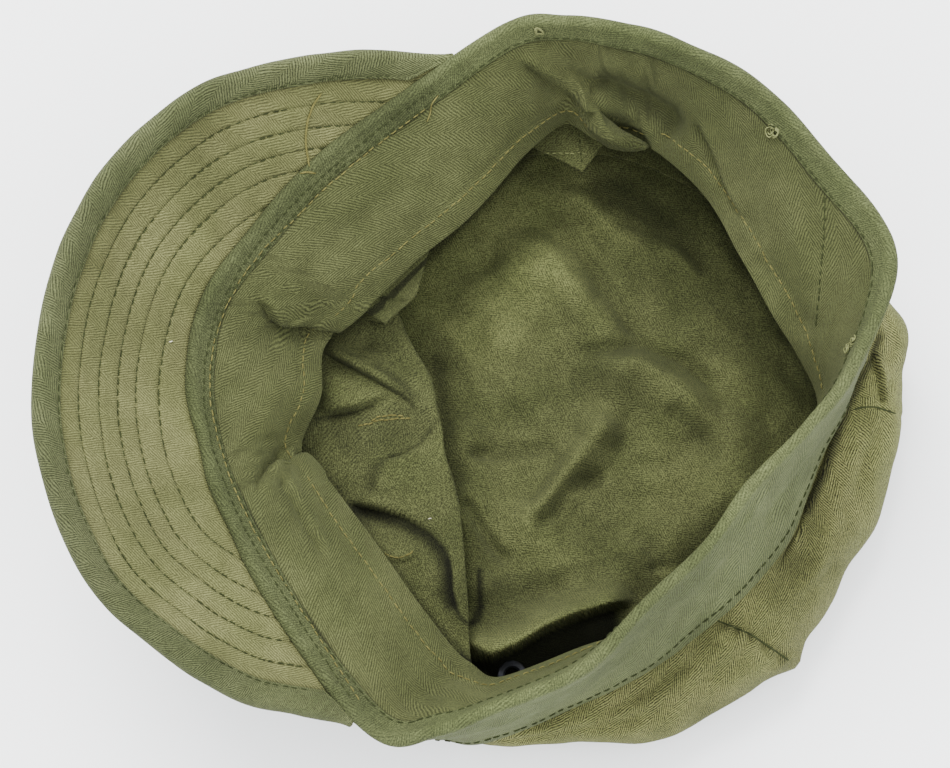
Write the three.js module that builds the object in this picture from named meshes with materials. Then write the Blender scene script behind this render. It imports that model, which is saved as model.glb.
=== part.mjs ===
// A soft herringbone field cap, lying upside down on its crown as it is put down on a table.
// Millimetres, +Z up. The head goes in from above, and the peak points towards -X and up.

import * as THREE from 'three';

// Cloth thicknesses, and the gap that sewn pieces keep to each other
const CROWN_CLOTH = 1.2;
const BAND_CLOTH = 1.4;
const SWEATBAND_CLOTH = 1.4;
const PEAK_PANEL = 2.2;
const PEAK_CLOTH = 1.0;
const SEAM_GAP = 0.35;
const PANEL_GAP = 0.45;

// The rim: the band's cloth is rolled over it and sewn down inside
const ROLL_HALF_WIDTH = 1.15;
const ROLL_DEPTH = 3.2;
const ROLL_SHOULDER = 1.2;
const ROLL_CROWN = 1.0;

// How far the crown's side reaches up behind the band, and hangs straight below it
const LAP_UP = 2.5;
const LAP_DOWN = 2.2;

// The table touches the crown's top, which is one flat patch between its folds
const FOOT_HEIGHT = 1.0;
const FLAT_BELOW = 1.5;

// The peak: its border takes up at most a share of its depth, where it runs out at its ends
const BORDER_WIDTH = 7;
const BORDER_MOST = 0.7;
const PEAK_CAMBER = 0.045;
const PANEL_RETREAT = 2.4;
const SHOULDER_BACK = 0.4;
const SHOULDER_RISE = 0.55;

const SWEATBAND_SAG = 1.6;

// The crown's side turns under towards its foot through a low place on the table
const LOW_SHARE = 0.6;
const LOW_RISE = 0.18;

// Steps round the cap for each section below, and along each wall's own section
const STEPS_PER_SECTION = 3;
const BAND_STEPS = 4;
const SWEATBAND_STEPS = 5;
const TOP_RINGS = 8;
const PEAK_STEPS = 26;
const EYELET_SIDES = 16;

// Where the crown's side is creased, counted in legs between the six places of its section
const SIDE_LEGS = [0, 1, 1.25, 1.5, 1.75, 2, 2.35, 2.7, 3, 3.5, 4, 5];

// One upright section of the cap a row, at an angle round the middle of the opening. Each place is
// a radius and a height: rim, where the head goes in; free, the sweatband's loose edge; edge, the
// outer band's sewn edge; ridge, where the crown's side folds; wide, where it stands out most.
// foot is the radius where the side meets the crown's top. In front the side is tucked far inwards.
const SECTIONS = [
  { at: 0, rim: [75.5, 83], free: [70, 44], edge: [79, 41], ridge: [90, 36], wide: [95.5, 27], foot: 86 },
  { at: 20, rim: [92.5, 85], free: [60.5, 55], edge: [90, 43], ridge: [95, 36], wide: [97, 28], foot: 87 },
  { at: 40, rim: [92.5, 84], free: [61, 55], edge: [85, 42], ridge: [88, 34], wide: [89, 24], foot: 80 },
  { at: 58, rim: [97, 82.5], free: [70, 50], edge: [89, 40], ridge: [91, 32], wide: [91, 22], foot: 82 },
  { at: 74, rim: [100, 79], free: [78, 44], edge: [93, 37], ridge: [94, 30], wide: [93, 20], foot: 84 },
  { at: 84, rim: [102, 77], free: [77, 43], edge: [95, 36], ridge: [95, 29], wide: [94, 20], foot: 85 },
  { at: 92, rim: [104, 76], free: [84, 38], edge: [96, 34], ridge: [96, 28], wide: [94, 19], foot: 85 },
  { at: 101, rim: [104, 75], free: [74, 44], edge: [96, 33], ridge: [95, 28], wide: [93, 19], foot: 84 },
  { at: 120, rim: [95, 73], free: [61.5, 46], edge: [87, 31], ridge: [84, 26], wide: [86, 17], foot: 77 },
  { at: 140, rim: [97, 71], free: [61, 47], edge: [87, 30], ridge: [74, 26], wide: [84, 14], foot: 74 },
  { at: 155, rim: [101, 69.5], free: [65, 47], edge: [89, 29], ridge: [56, 27], wide: [80, 11], foot: 71 },
  { at: 168, rim: [108, 68.5], free: [75, 41], edge: [92, 28], ridge: [44, 26], wide: [77, 9], foot: 69 },
  { at: 180, rim: [109.5, 68], free: [74.5, 42], edge: [93, 28], ridge: [41, 25.5], wide: [76, 8.5], foot: 68 },
  { at: 190, rim: [107.5, 67], free: [82, 35], edge: [92, 27], ridge: [40, 25], wide: [76, 8.5], foot: 68 },
  { at: 200, rim: [106.5, 66.5], free: [75, 42], edge: [92, 26], ridge: [41, 25], wide: [77, 8.5], foot: 69 },
  { at: 220, rim: [107.5, 64], free: [67.5, 48], edge: [95, 23], ridge: [45, 24], wide: [84, 8], foot: 73 },
  { at: 240, rim: [115, 62], free: [73, 47], edge: [105, 20], ridge: [64, 21], wide: [96, 9], foot: 76 },
  { at: 248, rim: [107, 64.5], free: [79, 40], edge: [104.5, 22], ridge: [82, 20], wide: [99, 11], foot: 74 },
  { at: 255, rim: [97, 67], free: [85, 32], edge: [102, 25], ridge: [99, 20], wide: [101, 13], foot: 74 },
  { at: 270, rim: [80.5, 71], free: [82, 32], edge: [88, 30], ridge: [96, 26], wide: [98.5, 18], foot: 76 },
  { at: 285, rim: [68, 74], free: [74, 34], edge: [81, 33], ridge: [92, 28], wide: [99.5, 18], foot: 84 },
  { at: 305, rim: [60.5, 76.5], free: [68, 38], edge: [75.5, 37], ridge: [87, 31], wide: [96, 18], foot: 86 },
  { at: 325, rim: [57.5, 78], free: [66, 40], edge: [74, 39], ridge: [86, 32], wide: [93.5, 18], foot: 84 },
  { at: 345, rim: [65, 80.5], free: [67.5, 42], edge: [72.5, 39.5], ridge: [86, 34], wide: [96.3, 23], foot: 86 },
];

// The peak across its length: the angle of its joint on the rim, and its outer edge from there
const PEAK_EDGE = [
  { joint: 116, at: 115, out: [104, 74] },
  { joint: 125, at: 122, out: [108.5, 82] },
  { joint: 136, at: 132, out: [117, 91] },
  { joint: 150, at: 145, out: [130, 99] },
  { joint: 164, at: 160, out: [141.5, 104] },
  { joint: 176, at: 175, out: [147, 105] },
  { joint: 190, at: 190, out: [150, 103.5] },
  { joint: 202, at: 205, out: [147.5, 99] },
  { joint: 209, at: 215, out: [140, 92] },
  { joint: 217, at: 225, out: [130, 80] },
  { joint: 226, at: 231, out: [123, 71] },
  { joint: 233, at: 235, out: [119, 64.5] },
];

// Soft folds that stand up from the crown's top, seen inside: a line, its rise and its half width
const TOP_FOLDS = [
  { name: 'front swell', from: [-34, -6], to: [-28, -50], rise: 7, half: 9 },
  { name: 'rear left roll', from: [-26, -66], to: [8, -58], rise: 10, half: 9 },
  { name: 'middle fold', from: [-10, -28], to: [8, -4], rise: 7, half: 7 },
  { name: 'upper fold', from: [-14, 50], to: [14, 16], rise: 6, half: 10 },
  { name: 'right fold', from: [20, 14], to: [48, -4], rise: 8, half: 9 },
  { name: 'lower fold', from: [22, -40], to: [48, -22], rise: 7, half: 9 },
];

// Pleats in the crown's side behind the band, each a small corner in the cap's outline
const SIDE_PLEATS = [
  { name: 'rear pleat', at: 310.5, out: 4, spread: 4 },
  { name: 'side pleat', at: 358, out: 2, spread: 3 },
];

// The metal eyelet that airs the crown, low in its side
const EYELET = { at: 256.5, radius: 79.5, height: 7.4, hole: 2.2, outer: 4.4, thick: 0.9, bead: 0.5 };

const UP = new THREE.Vector3(0, 0, 1);

function place(at, [radius, height]) {
  const angle = THREE.MathUtils.degToRad(at);
  return new THREE.Vector3(radius * Math.cos(angle), radius * Math.sin(angle), height);
}

function closedRing(column) {
  const points = SECTIONS.map((row) => place(row.at, column(row)));
  return new THREE.CatmullRomCurve3(points, true, 'catmullrom', 0.5);
}

const rimRing = closedRing((row) => row.rim);
const freeRing = closedRing((row) => row.free);
const edgeRing = closedRing((row) => row.edge);
const ridgeRing = closedRing((row) => row.ridge);
const wideRing = closedRing((row) => row.wide);
const footRing = closedRing((row) => [row.foot, FOOT_HEIGHT]);
const peakRing = new THREE.CatmullRomCurve3(PEAK_EDGE.map((row) => place(row.at, row.out)));

// The share of the way round the rings at which they pass an angle
function shareAtAngle(at) {
  const after = SECTIONS.findIndex((row) => row.at > at);
  const row = SECTIONS[after - 1];
  const next = SECTIONS[after];
  return (after - 1 + (at - row.at) / (next.at - row.at)) / SECTIONS.length;
}

// The level direction from a ring towards the middle of the opening, square to the ring
function inwardFrom(ring, share) {
  const tangent = ring.getTangent(share);
  return new THREE.Vector3(-tangent.y, tangent.x, 0).normalize();
}

function between(a, b, share) {
  return a.clone().lerp(b, share);
}

function moved(point, direction, distance) {
  return point.clone().addScaledVector(direction, distance);
}

// The band's middle line from its hem inside the rim, over the roll and down to its sewn edge
function bandSection(share) {
  const rim = rimRing.getPoint(share);
  const inward = inwardFrom(rimRing, share);
  const edge = edgeRing.getPoint(share);
  const downInside = freeRing.getPoint(share).sub(rim).normalize();
  const downOutside = edge.clone().sub(rim).normalize();
  const insideLeg = moved(rim, inward, ROLL_HALF_WIDTH);
  const outsideLeg = moved(rim, inward, -ROLL_HALF_WIDTH);
  const shoulder = moved(outsideLeg, downOutside, ROLL_SHOULDER);
  const points = [
    moved(insideLeg, downInside, ROLL_DEPTH),
    moved(insideLeg, downInside, ROLL_SHOULDER),
    moved(rim, UP, ROLL_CROWN),
  ];
  for (let step = 0; step <= BAND_STEPS; step += 1) {
    points.push(between(shoulder, edge, step / BAND_STEPS));
  }
  return points;
}

// The sweatband's middle line from under the rolled hem to its loose edge
function sweatbandSection(share) {
  const hem = bandSection(share)[0];
  const free = freeRing.getPoint(share);
  const top = moved(hem, free.clone().sub(hem).normalize(), SEAM_GAP);
  const points = [];
  for (let step = 0; step <= SWEATBAND_STEPS; step += 1) {
    const down = step / SWEATBAND_STEPS;
    points.push(moved(between(top, free, down), UP, SWEATBAND_SAG * Math.sin(Math.PI * down)));
  }
  return points;
}

function pleatAt(share) {
  const index = share * SECTIONS.length;
  const row = SECTIONS[Math.floor(index) % SECTIONS.length];
  const next = SECTIONS[(Math.floor(index) + 1) % SECTIONS.length];
  const span = (next.at - row.at + 360) % 360;
  const at = row.at + (index - Math.floor(index)) * span;
  return SIDE_PLEATS.reduce((sum, pleat) => {
    const away = ((at - pleat.at + 540) % 360) - 180;
    return sum + pleat.out * Math.exp(-((away / pleat.spread) ** 2));
  }, 0);
}

// The crown's side from behind the band, over its fold and its widest place, to the crown's top
function sideSection(share) {
  const edge = edgeRing.getPoint(share);
  const alongBand = edge.clone().sub(rimRing.getPoint(share)).normalize();
  const inward = inwardFrom(edgeRing, share);
  inward.addScaledVector(alongBand, -inward.dot(alongBand)).normalize();
  const behindBand = moved(edge, inward, (BAND_CLOTH + CROWN_CLOTH) / 2 + SEAM_GAP);
  const wide = moved(wideRing.getPoint(share), inwardFrom(wideRing, share), -pleatAt(share));
  const foot = footRing.getPoint(share);
  const low = between(foot, wide, LOW_SHARE);
  low.z = FOOT_HEIGHT + LOW_RISE * (wide.z - FOOT_HEIGHT);
  const line = new THREE.CatmullRomCurve3([
    moved(behindBand, alongBand, -LAP_UP),
    moved(behindBand, alongBand, LAP_DOWN),
    ridgeRing.getPoint(share),
    wide,
    low,
    foot,
  ]);
  return SIDE_LEGS.map((leg) => line.getPoint(leg / (line.points.length - 1)));
}

function distanceToLine(x, y, from, to) {
  const along = [to[0] - from[0], to[1] - from[1]];
  const lengthSquared = along[0] ** 2 + along[1] ** 2;
  const share = ((x - from[0]) * along[0] + (y - from[1]) * along[1]) / lengthSquared;
  const nearest = THREE.MathUtils.clamp(share, 0, 1);
  return Math.hypot(x - from[0] - nearest * along[0], y - from[1] - nearest * along[1]);
}

// How high the crown's top stands above the table
function topLift(x, y) {
  const lift = TOP_FOLDS.reduce((sum, fold) => {
    const away = distanceToLine(x, y, fold.from, fold.to) / fold.half;
    return sum + fold.rise * Math.exp(-(away ** 2));
  }, 0);
  return Math.max(0, lift - FLAT_BELOW);
}

// A closed wall of cloth from sections of its middle surface, thickened to both sides
function clothWall(sections, thickness, goesRound) {
  const count = sections.length;
  const width = sections[0].length;
  const at = (i, j) => sections[goesRound ? (i + count) % count : THREE.MathUtils.clamp(i, 0, count - 1)][
    THREE.MathUtils.clamp(j, 0, width - 1)];
  const positions = [];
  for (const side of [1, -1]) {
    for (let i = 0; i < count; i += 1) {
      for (let j = 0; j < width; j += 1) {
        const round = at(i + 1, j).clone().sub(at(i - 1, j));
        const down = at(i, j + 1).clone().sub(at(i, j - 1));
        const normal = round.cross(down).normalize();
        positions.push(...moved(at(i, j), normal, (side * thickness) / 2).toArray());
      }
    }
  }
  const front = (i, j) => (i % count) * width + j;
  const back = (i, j) => count * width + front(i, j);
  const faces = [];
  const quad = (a, b, c, d) => faces.push(a, b, c, a, c, d);
  const last = goesRound ? count : count - 1;
  for (let i = 0; i < last; i += 1) {
    for (let j = 0; j < width - 1; j += 1) {
      quad(front(i, j), front(i + 1, j), front(i + 1, j + 1), front(i, j + 1));
      quad(back(i, j), back(i, j + 1), back(i + 1, j + 1), back(i + 1, j));
    }
    quad(front(i, 0), back(i, 0), back(i + 1, 0), front(i + 1, 0));
    quad(front(i, width - 1), front(i + 1, width - 1), back(i + 1, width - 1), back(i, width - 1));
  }
  if (!goesRound) {
    for (let j = 0; j < width - 1; j += 1) {
      quad(front(0, j), front(0, j + 1), back(0, j + 1), back(0, j));
      quad(front(last, j), back(last, j), back(last, j + 1), front(last, j + 1));
    }
  }
  return facingOut(positions, faces);
}

// A geometry from points and triangles, with every face turned outwards
function facingOut(positions, faces) {
  const corner = (index) => new THREE.Vector3().fromArray(positions, index * 3);
  let volume = 0;
  for (let i = 0; i < faces.length; i += 3) {
    volume += corner(faces[i]).dot(corner(faces[i + 1]).cross(corner(faces[i + 2])));
  }
  const geometry = new THREE.BufferGeometry();
  geometry.setAttribute('position', new THREE.Float32BufferAttribute(positions, 3));
  geometry.setIndex(volume > 0 ? faces : faces.slice().reverse());
  geometry.computeVertexNormals();
  return geometry;
}

function sectionsRound(sectionAt) {
  const steps = SECTIONS.length * STEPS_PER_SECTION;
  return Array.from({ length: steps }, (_, step) => sectionAt(step / steps));
}

// The crown's top: a disc inside the ring of the side's foot, lifted where it is folded
function crownTop() {
  const steps = SECTIONS.length * STEPS_PER_SECTION;
  const positions = [];
  const layer = (height) => {
    positions.push(0, 0, topLift(0, 0) + height);
    for (let ring = 1; ring <= TOP_RINGS; ring += 1) {
      for (let step = 0; step < steps; step += 1) {
        const foot = footRing.getPoint(step / steps);
        const reach = (ring / TOP_RINGS) * (foot.length() - SEAM_GAP);
        foot.setZ(0).setLength(reach);
        positions.push(foot.x, foot.y, topLift(foot.x, foot.y) + height);
      }
    }
  };
  layer(CROWN_CLOTH);
  layer(0);
  const layerSize = 1 + TOP_RINGS * steps;
  const upper = (ring, step) => 1 + (ring - 1) * steps + (step % steps);
  const lower = (ring, step) => layerSize + upper(ring, step);
  const faces = [];
  for (let step = 0; step < steps; step += 1) {
    faces.push(0, upper(1, step), upper(1, step + 1));
    faces.push(layerSize, lower(1, step + 1), lower(1, step));
    for (let ring = 1; ring < TOP_RINGS; ring += 1) {
      const next = ring + 1;
      faces.push(upper(ring, step), upper(next, step), upper(next, step + 1));
      faces.push(upper(ring, step), upper(next, step + 1), upper(ring, step + 1));
      faces.push(lower(ring, step), lower(next, step + 1), lower(next, step));
      faces.push(lower(ring, step), lower(ring, step + 1), lower(next, step + 1));
    }
    faces.push(upper(TOP_RINGS, step), lower(TOP_RINGS, step), lower(TOP_RINGS, step + 1));
    faces.push(upper(TOP_RINGS, step), lower(TOP_RINGS, step + 1), upper(TOP_RINGS, step + 1));
  }
  return facingOut(positions, faces);
}

// The peak's own frame at a share of its length: its joint to the rim, the direction and distance
// from there to its outer edge, and the normal of the face that is seen from above
function peakFrame(share) {
  const index = share * (PEAK_EDGE.length - 1);
  const row = Math.min(Math.floor(index), PEAK_EDGE.length - 2);
  const onRim = THREE.MathUtils.lerp(PEAK_EDGE[row].joint, PEAK_EDGE[row + 1].joint, index - row);
  const rimShare = shareAtAngle(onRim);
  const clearOfBand = ROLL_HALF_WIDTH + BAND_CLOTH / 2 + 2 * SEAM_GAP;
  const joint = moved(rimRing.getPoint(rimShare), inwardFrom(rimRing, rimShare), -clearOfBand);
  const outer = peakRing.getPoint(share);
  const out = outer.clone().sub(joint);
  const depth = out.length();
  out.normalize();
  const along = rimRing.getTangent(rimShare).add(peakRing.getTangent(share));
  const normal = along.cross(out).normalize();
  if (normal.z < 0) normal.negate();
  return { joint, out, depth, normal };
}

// A point on the peak's panel: how far out of its depth, and how high above its middle surface
function onPeak(frame, distance, height) {
  const share = THREE.MathUtils.clamp(distance / frame.depth, 0, 1);
  const camber = -PEAK_CAMBER * frame.depth * Math.sin(Math.PI * share);
  return moved(moved(frame.joint, frame.out, distance), frame.normal, camber + height);
}

function peakSections(sectionAt) {
  return Array.from({ length: PEAK_STEPS + 1 }, (_, step) => sectionAt(peakFrame(step / PEAK_STEPS)));
}

const COVER_OFFSET = PEAK_PANEL / 2 + PANEL_GAP + PEAK_CLOTH / 2;

// Where the panel and its cover are creased alike, as distances from the joint. The border starts
// at the fourth.
const BORDER_CREASE = 3;

function peakCreases(frame) {
  const inner = frame.depth - Math.min(BORDER_WIDTH, BORDER_MOST * frame.depth);
  const tip = frame.depth - PANEL_RETREAT;
  return [0, inner / 3, (2 * inner) / 3, inner, (inner + tip) / 2, tip];
}

// The stitched panel ends inside the fold of the cover's border
function peakPanelSection(frame) {
  return peakCreases(frame).map((distance) => onPeak(frame, distance, 0));
}

// The cover lies under the panel, turns round its outer edge and comes back as a border
function peakCoverSection(frame) {
  const edge = frame.depth - PEAK_CLOTH / 2;
  const shoulder = edge - SHOULDER_BACK;
  const creases = peakCreases(frame);
  return [
    ...creases.map((distance) => onPeak(frame, distance, -COVER_OFFSET)),
    onPeak(frame, shoulder, -SHOULDER_RISE * COVER_OFFSET),
    onPeak(frame, edge, 0),
    onPeak(frame, shoulder, SHOULDER_RISE * COVER_OFFSET),
    ...creases.slice(BORDER_CREASE).reverse().map((distance) => onPeak(frame, distance, COVER_OFFSET)),
  ];
}

function eyeletGeometry() {
  const { hole, outer, thick, bead } = EYELET;
  const profile = [
    new THREE.Vector2(hole, 0),
    new THREE.Vector2(outer, 0),
    new THREE.Vector2(outer - bead / 2, thick / 2),
    new THREE.Vector2(hole + bead, thick),
    new THREE.Vector2(hole, thick / 2),
    new THREE.Vector2(hole, 0),
  ];
  const geometry = new THREE.LatheGeometry(profile, EYELET_SIDES);
  geometry.rotateX(Math.PI / 2);
  return geometry;
}

const faded = { roughness: 0.92, metalness: 0 };
const crownCloth = new THREE.MeshStandardMaterial({ color: 0x7d7c4c, ...faded });
const bandCloth = new THREE.MeshStandardMaterial({ color: 0x76805a, ...faded });
const sweatbandCloth = new THREE.MeshStandardMaterial({ color: 0x747c50, ...faded });
const panelCloth = new THREE.MeshStandardMaterial({ color: 0x8f8a66, ...faded });
const borderCloth = new THREE.MeshStandardMaterial({ color: 0x65704d, ...faded });
const eyeletMetal = new THREE.MeshStandardMaterial({ color: 0x8c9298, roughness: 0.45, metalness: 1 });

const cap = new THREE.Group();

function addPiece(name, geometry, material) {
  const piece = new THREE.Mesh(geometry, material);
  piece.name = name;
  cap.add(piece);
  return piece;
}

addPiece('crown_top', crownTop(), crownCloth);
addPiece('crown_side', clothWall(sectionsRound(sideSection), CROWN_CLOTH, true), crownCloth);
addPiece('outer_band', clothWall(sectionsRound(bandSection), BAND_CLOTH, true), bandCloth);
addPiece('sweatband', clothWall(sectionsRound(sweatbandSection), SWEATBAND_CLOTH, true), sweatbandCloth);
addPiece('peak_panel', clothWall(peakSections(peakPanelSection), PEAK_PANEL, false), panelCloth);
addPiece('peak_cover', clothWall(peakSections(peakCoverSection), PEAK_CLOTH, false), borderCloth);

const eyelet = addPiece('vent_eyelet', eyeletGeometry(), eyeletMetal);
eyelet.position.copy(place(EYELET.at, [EYELET.radius, EYELET.height]));

// The origin is under the middle of the cap's box, on the table
const box = new THREE.Box3().setFromObject(cap);
cap.position.set(-(box.min.x + box.max.x) / 2, -(box.min.y + box.max.y) / 2, -box.min.z);

export default cap;
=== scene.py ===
# A soft herringbone field cap, lying upside down on its crown, with its weave, seams and creases.
# Lengths are millimetres in the cap's own frame, whose origin is under the middle of the head
# opening, until mesh() turns them into metres in the part's frame.

import math

import bpy
import numpy as np
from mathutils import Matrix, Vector
from mathutils.bvhtree import BVHTree


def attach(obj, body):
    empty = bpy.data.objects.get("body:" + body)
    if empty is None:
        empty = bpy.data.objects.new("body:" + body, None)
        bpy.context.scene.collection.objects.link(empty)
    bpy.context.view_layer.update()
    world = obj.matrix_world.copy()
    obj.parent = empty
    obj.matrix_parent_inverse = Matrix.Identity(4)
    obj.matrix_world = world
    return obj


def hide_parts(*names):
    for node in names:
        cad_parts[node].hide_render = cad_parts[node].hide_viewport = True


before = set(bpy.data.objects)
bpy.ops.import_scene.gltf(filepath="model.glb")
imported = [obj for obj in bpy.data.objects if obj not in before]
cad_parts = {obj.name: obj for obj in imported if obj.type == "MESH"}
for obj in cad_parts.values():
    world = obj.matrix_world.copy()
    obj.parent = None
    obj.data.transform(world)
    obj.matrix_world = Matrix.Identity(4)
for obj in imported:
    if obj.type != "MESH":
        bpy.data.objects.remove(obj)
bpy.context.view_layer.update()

# Where the middle of the opening is in the part's frame
OPENING = np.array([26.085, -1.169, 0.0])
MM = 0.001

# The photograph's frame and viewpoint. Places named by a pixel are seen through this camera.
PHOTO_WIDTH = 950
PHOTO_HEIGHT = 768
SENSOR = 36.0
LENS = 117.0
VIEW_ELEVATION = math.radians(78)
VIEW_DISTANCE = 900.0
VIEW_TARGET = np.array([-29.6, 3.9, 40.0])
PIXELS_FOCAL = LENS * PHOTO_WIDTH / SENSOR
VIEW_BACK = np.array([0.0, -math.cos(VIEW_ELEVATION), math.sin(VIEW_ELEVATION)])
VIEW_UP = np.array([0.0, math.sin(VIEW_ELEVATION), math.cos(VIEW_ELEVATION)])
VIEW_RIGHT = np.array([1.0, 0.0, 0.0])
VIEWPOINT = VIEW_TARGET + VIEW_DISTANCE * VIEW_BACK

# Cloth
CROWN_CLOTH = 1.2
BAND_CLOTH = 1.3
SWEATBAND_CLOTH = 1.1
PEAK_PANEL = 2.2
PEAK_CLOTH = 1.0
SEAM_GAP = 0.35
PANEL_GAP = 0.45
STITCH = 2.3
STITCH_SPACING = 2.9
STITCH_PROUD = 0.16
STITCH_SIDES = 5
# Where a stitch's rings are along it, and how wide they are and how far out of the cloth
STITCH_RINGS = [
    dict(at=0.0, wide=0.35, rise=-0.8),
    dict(at=0.22, wide=1.0, rise=1.0),
    dict(at=0.78, wide=1.0, rise=1.0),
    dict(at=1.0, wide=0.35, rise=-0.8),
]

# The rim: the band's cloth is turned over it and sewn down inside
ROLL_HALF_WIDTH = 1.25
ROLL_CROWN = 1.0
HEM_STEPS = [5.6, 5.4, 5.1, 4.5, 3.6, 2.8, 2.1, 1.4, 0.8]
ROLL_TURNS = np.radians([18, 42, 66, 90, 114, 138, 162])
# The band's columns inside and over the rim, the hem's row of stitches and the lower edge's
ROLL_COLUMNS = len(HEM_STEPS) + len(ROLL_TURNS) + 1
HEM_STITCH_COLUMN = 3
EDGE_STITCH_COLUMN = 40
SWEATBAND_START = 1.2
SWEATBAND_SAG = 1.6
SWEATBAND_HEM = 7.5
LAP_UP = 2.5
LAP_DOWN = 2.2
FOOT_HEIGHT = 1.0
FLAT_BELOW = 1.5
LOW_SHARE = 0.6
LOW_RISE = 0.18

BORDER_WIDTH = 8.4
PEAK_CAMBER = 0.045
PEAK_ROWS = [16.1, 23.5, 30.2, 36.3, 44.0]
TOP_LAP = 1.6
# How much longer the panel is, across and along, than it looks from above
PANEL_SLOPE = np.array([1.15, 1.0])
JOINT_OUT = 0.3
JOINT_DROP = 1.6

FLOOR_SHARPNESS = 1.2

# How deep a crease in the tuck may be, for each leg that it is away from the ridge
TUCK_SLACK = 7.0

# Half width in pixels of the step between a crease's two sides
LIP = 2.2

# The share of a line over which a crease or a shade fades out at each end
CREASE_ENDS = 0.16
SHADE_ENDS = 0.06
# Where a shade starts and is full, in pixels beside its line
SHADE_STARTS = 1.5
SHADE_FULL = -2.0

# Waves that make up the cloth's unevenness, and how round and how high its sharp creases are
WAVES = 14
CRUMPLE_ROUND = 0.008
CRUMPLE_MEAN = 0.56

# Steps of the crown's side from the band to the ridge of its tuck and on to its foot
SIDE_STEPS = [3, 54, 18, 7, 6]
RIDGE_COLUMN = SIDE_STEPS[0] + SIDE_STEPS[1]
STEPS_ROUND = 540
TOP_STEPS = 440
TOP_RINGS = 96
PEAK_STEPS = 300

# One upright section of the cap a row, as in the solid: radius and height of each place
SECTIONS = [
    dict(at=0, rim=(75.5, 83), free=(70, 44), edge=(79, 41), ridge=(90, 36), wide=(95.5, 27), foot=86),
    dict(at=20, rim=(92, 85), free=(60.5, 55), edge=(90, 43), ridge=(95, 36), wide=(97, 28), foot=87),
    dict(at=40, rim=(90.8, 84), free=(61, 55), edge=(85, 42), ridge=(88, 34), wide=(89, 24), foot=80),
    dict(at=58, rim=(95.1, 82.5), free=(70, 50), edge=(89, 40), ridge=(91, 32), wide=(91, 22), foot=82),
    dict(at=74, rim=(98.6, 79), free=(78, 44), edge=(93, 37), ridge=(94, 30), wide=(93, 20), foot=84),
    dict(at=84, rim=(101, 77), free=(77, 43), edge=(95, 36), ridge=(95, 29), wide=(94, 20), foot=85),
    dict(at=92, rim=(102.6, 76), free=(84, 38), edge=(96, 34), ridge=(96, 28), wide=(94, 19), foot=85),
    dict(at=101, rim=(103, 75), free=(74, 44), edge=(96, 33), ridge=(95, 28), wide=(93, 19), foot=84),
    dict(at=120, rim=(95, 73), free=(61.5, 46), edge=(87, 31), ridge=(84, 26), wide=(86, 17), foot=77),
    dict(at=140, rim=(97, 71), free=(61, 47), edge=(87, 30), ridge=(74, 26), wide=(84, 14), foot=74),
    dict(at=155, rim=(101, 69.5), free=(65, 47), edge=(89, 29), ridge=(56, 27), wide=(80, 11), foot=71),
    dict(at=168, rim=(108, 68.5), free=(75, 41), edge=(92, 28), ridge=(44, 26), wide=(77, 9), foot=69),
    dict(at=180, rim=(109.5, 68), free=(74.5, 42), edge=(93, 28), ridge=(41, 25.5), wide=(76, 8.5), foot=68),
    dict(at=190, rim=(107.5, 67), free=(82, 35), edge=(92, 27), ridge=(40, 25), wide=(76, 8.5), foot=68),
    dict(at=200, rim=(106.5, 66.5), free=(76, 42), edge=(92, 26), ridge=(41, 25), wide=(77, 8.5), foot=69),
    dict(at=220, rim=(107.5, 64), free=(73.2, 46), edge=(95, 23), ridge=(45, 24), wide=(84, 8), foot=73),
    dict(at=240, rim=(115, 62), free=(79.8, 44), edge=(105, 20), ridge=(64, 21), wide=(96, 9), foot=77),
    dict(at=248, rim=(107, 64.5), free=(83.8, 41), edge=(104.5, 22), ridge=(82, 20), wide=(99, 11), foot=79),
    dict(at=255, rim=(97, 67), free=(85.6, 38), edge=(102, 25), ridge=(99, 20), wide=(101, 13), foot=81),
    dict(at=270, rim=(83, 71), free=(73.3, 38), edge=(88.5, 30), ridge=(95, 26), wide=(97, 18), foot=80),
    dict(at=285, rim=(68, 74), free=(70, 36), edge=(81, 33), ridge=(92, 28), wide=(99.5, 18), foot=84),
    dict(at=305, rim=(60.5, 76.5), free=(68, 38), edge=(75.5, 37), ridge=(87, 31), wide=(96, 18), foot=86),
    dict(at=325, rim=(57.5, 78), free=(66, 40), edge=(74, 39), ridge=(86, 32), wide=(93.5, 18), foot=84),
    dict(at=345, rim=(65, 80.5), free=(67.5, 42), edge=(72.5, 39.5), ridge=(86, 34), wide=(96.3, 23),
         foot=86),
]

SECTION_ANGLES = np.array([row["at"] for row in SECTIONS] + [360.0])

# The peak's edge: where its joint is on the rim, and the angle, radius and height of its edge there
PEAK_EDGE = [
    dict(joint=111.5, at=111.3, out=(100.6, 72.6)),
    dict(joint=113.5, at=113.3, out=(101.6, 74.0)),
    dict(joint=116.5, at=116.3, out=(103.6, 76.5)),
    dict(joint=125, at=122, out=(108.5, 82)),
    dict(joint=136, at=132, out=(117, 91)),
    dict(joint=150, at=145, out=(131.2, 99)),
    dict(joint=164, at=160, out=(141.5, 104)),
    dict(joint=176, at=175, out=(147, 105)),
    dict(joint=190, at=190, out=(150, 103.5)),
    dict(joint=202, at=205, out=(147.5, 99)),
    dict(joint=209, at=215, out=(140, 92)),
    dict(joint=217, at=225, out=(131.4, 80)),
    dict(joint=226, at=231, out=(123, 70.5)),
    dict(joint=232, at=234, out=(119, 65.2)),
    dict(joint=236, at=236.4, out=(116.2, 62.6)),
]

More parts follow.
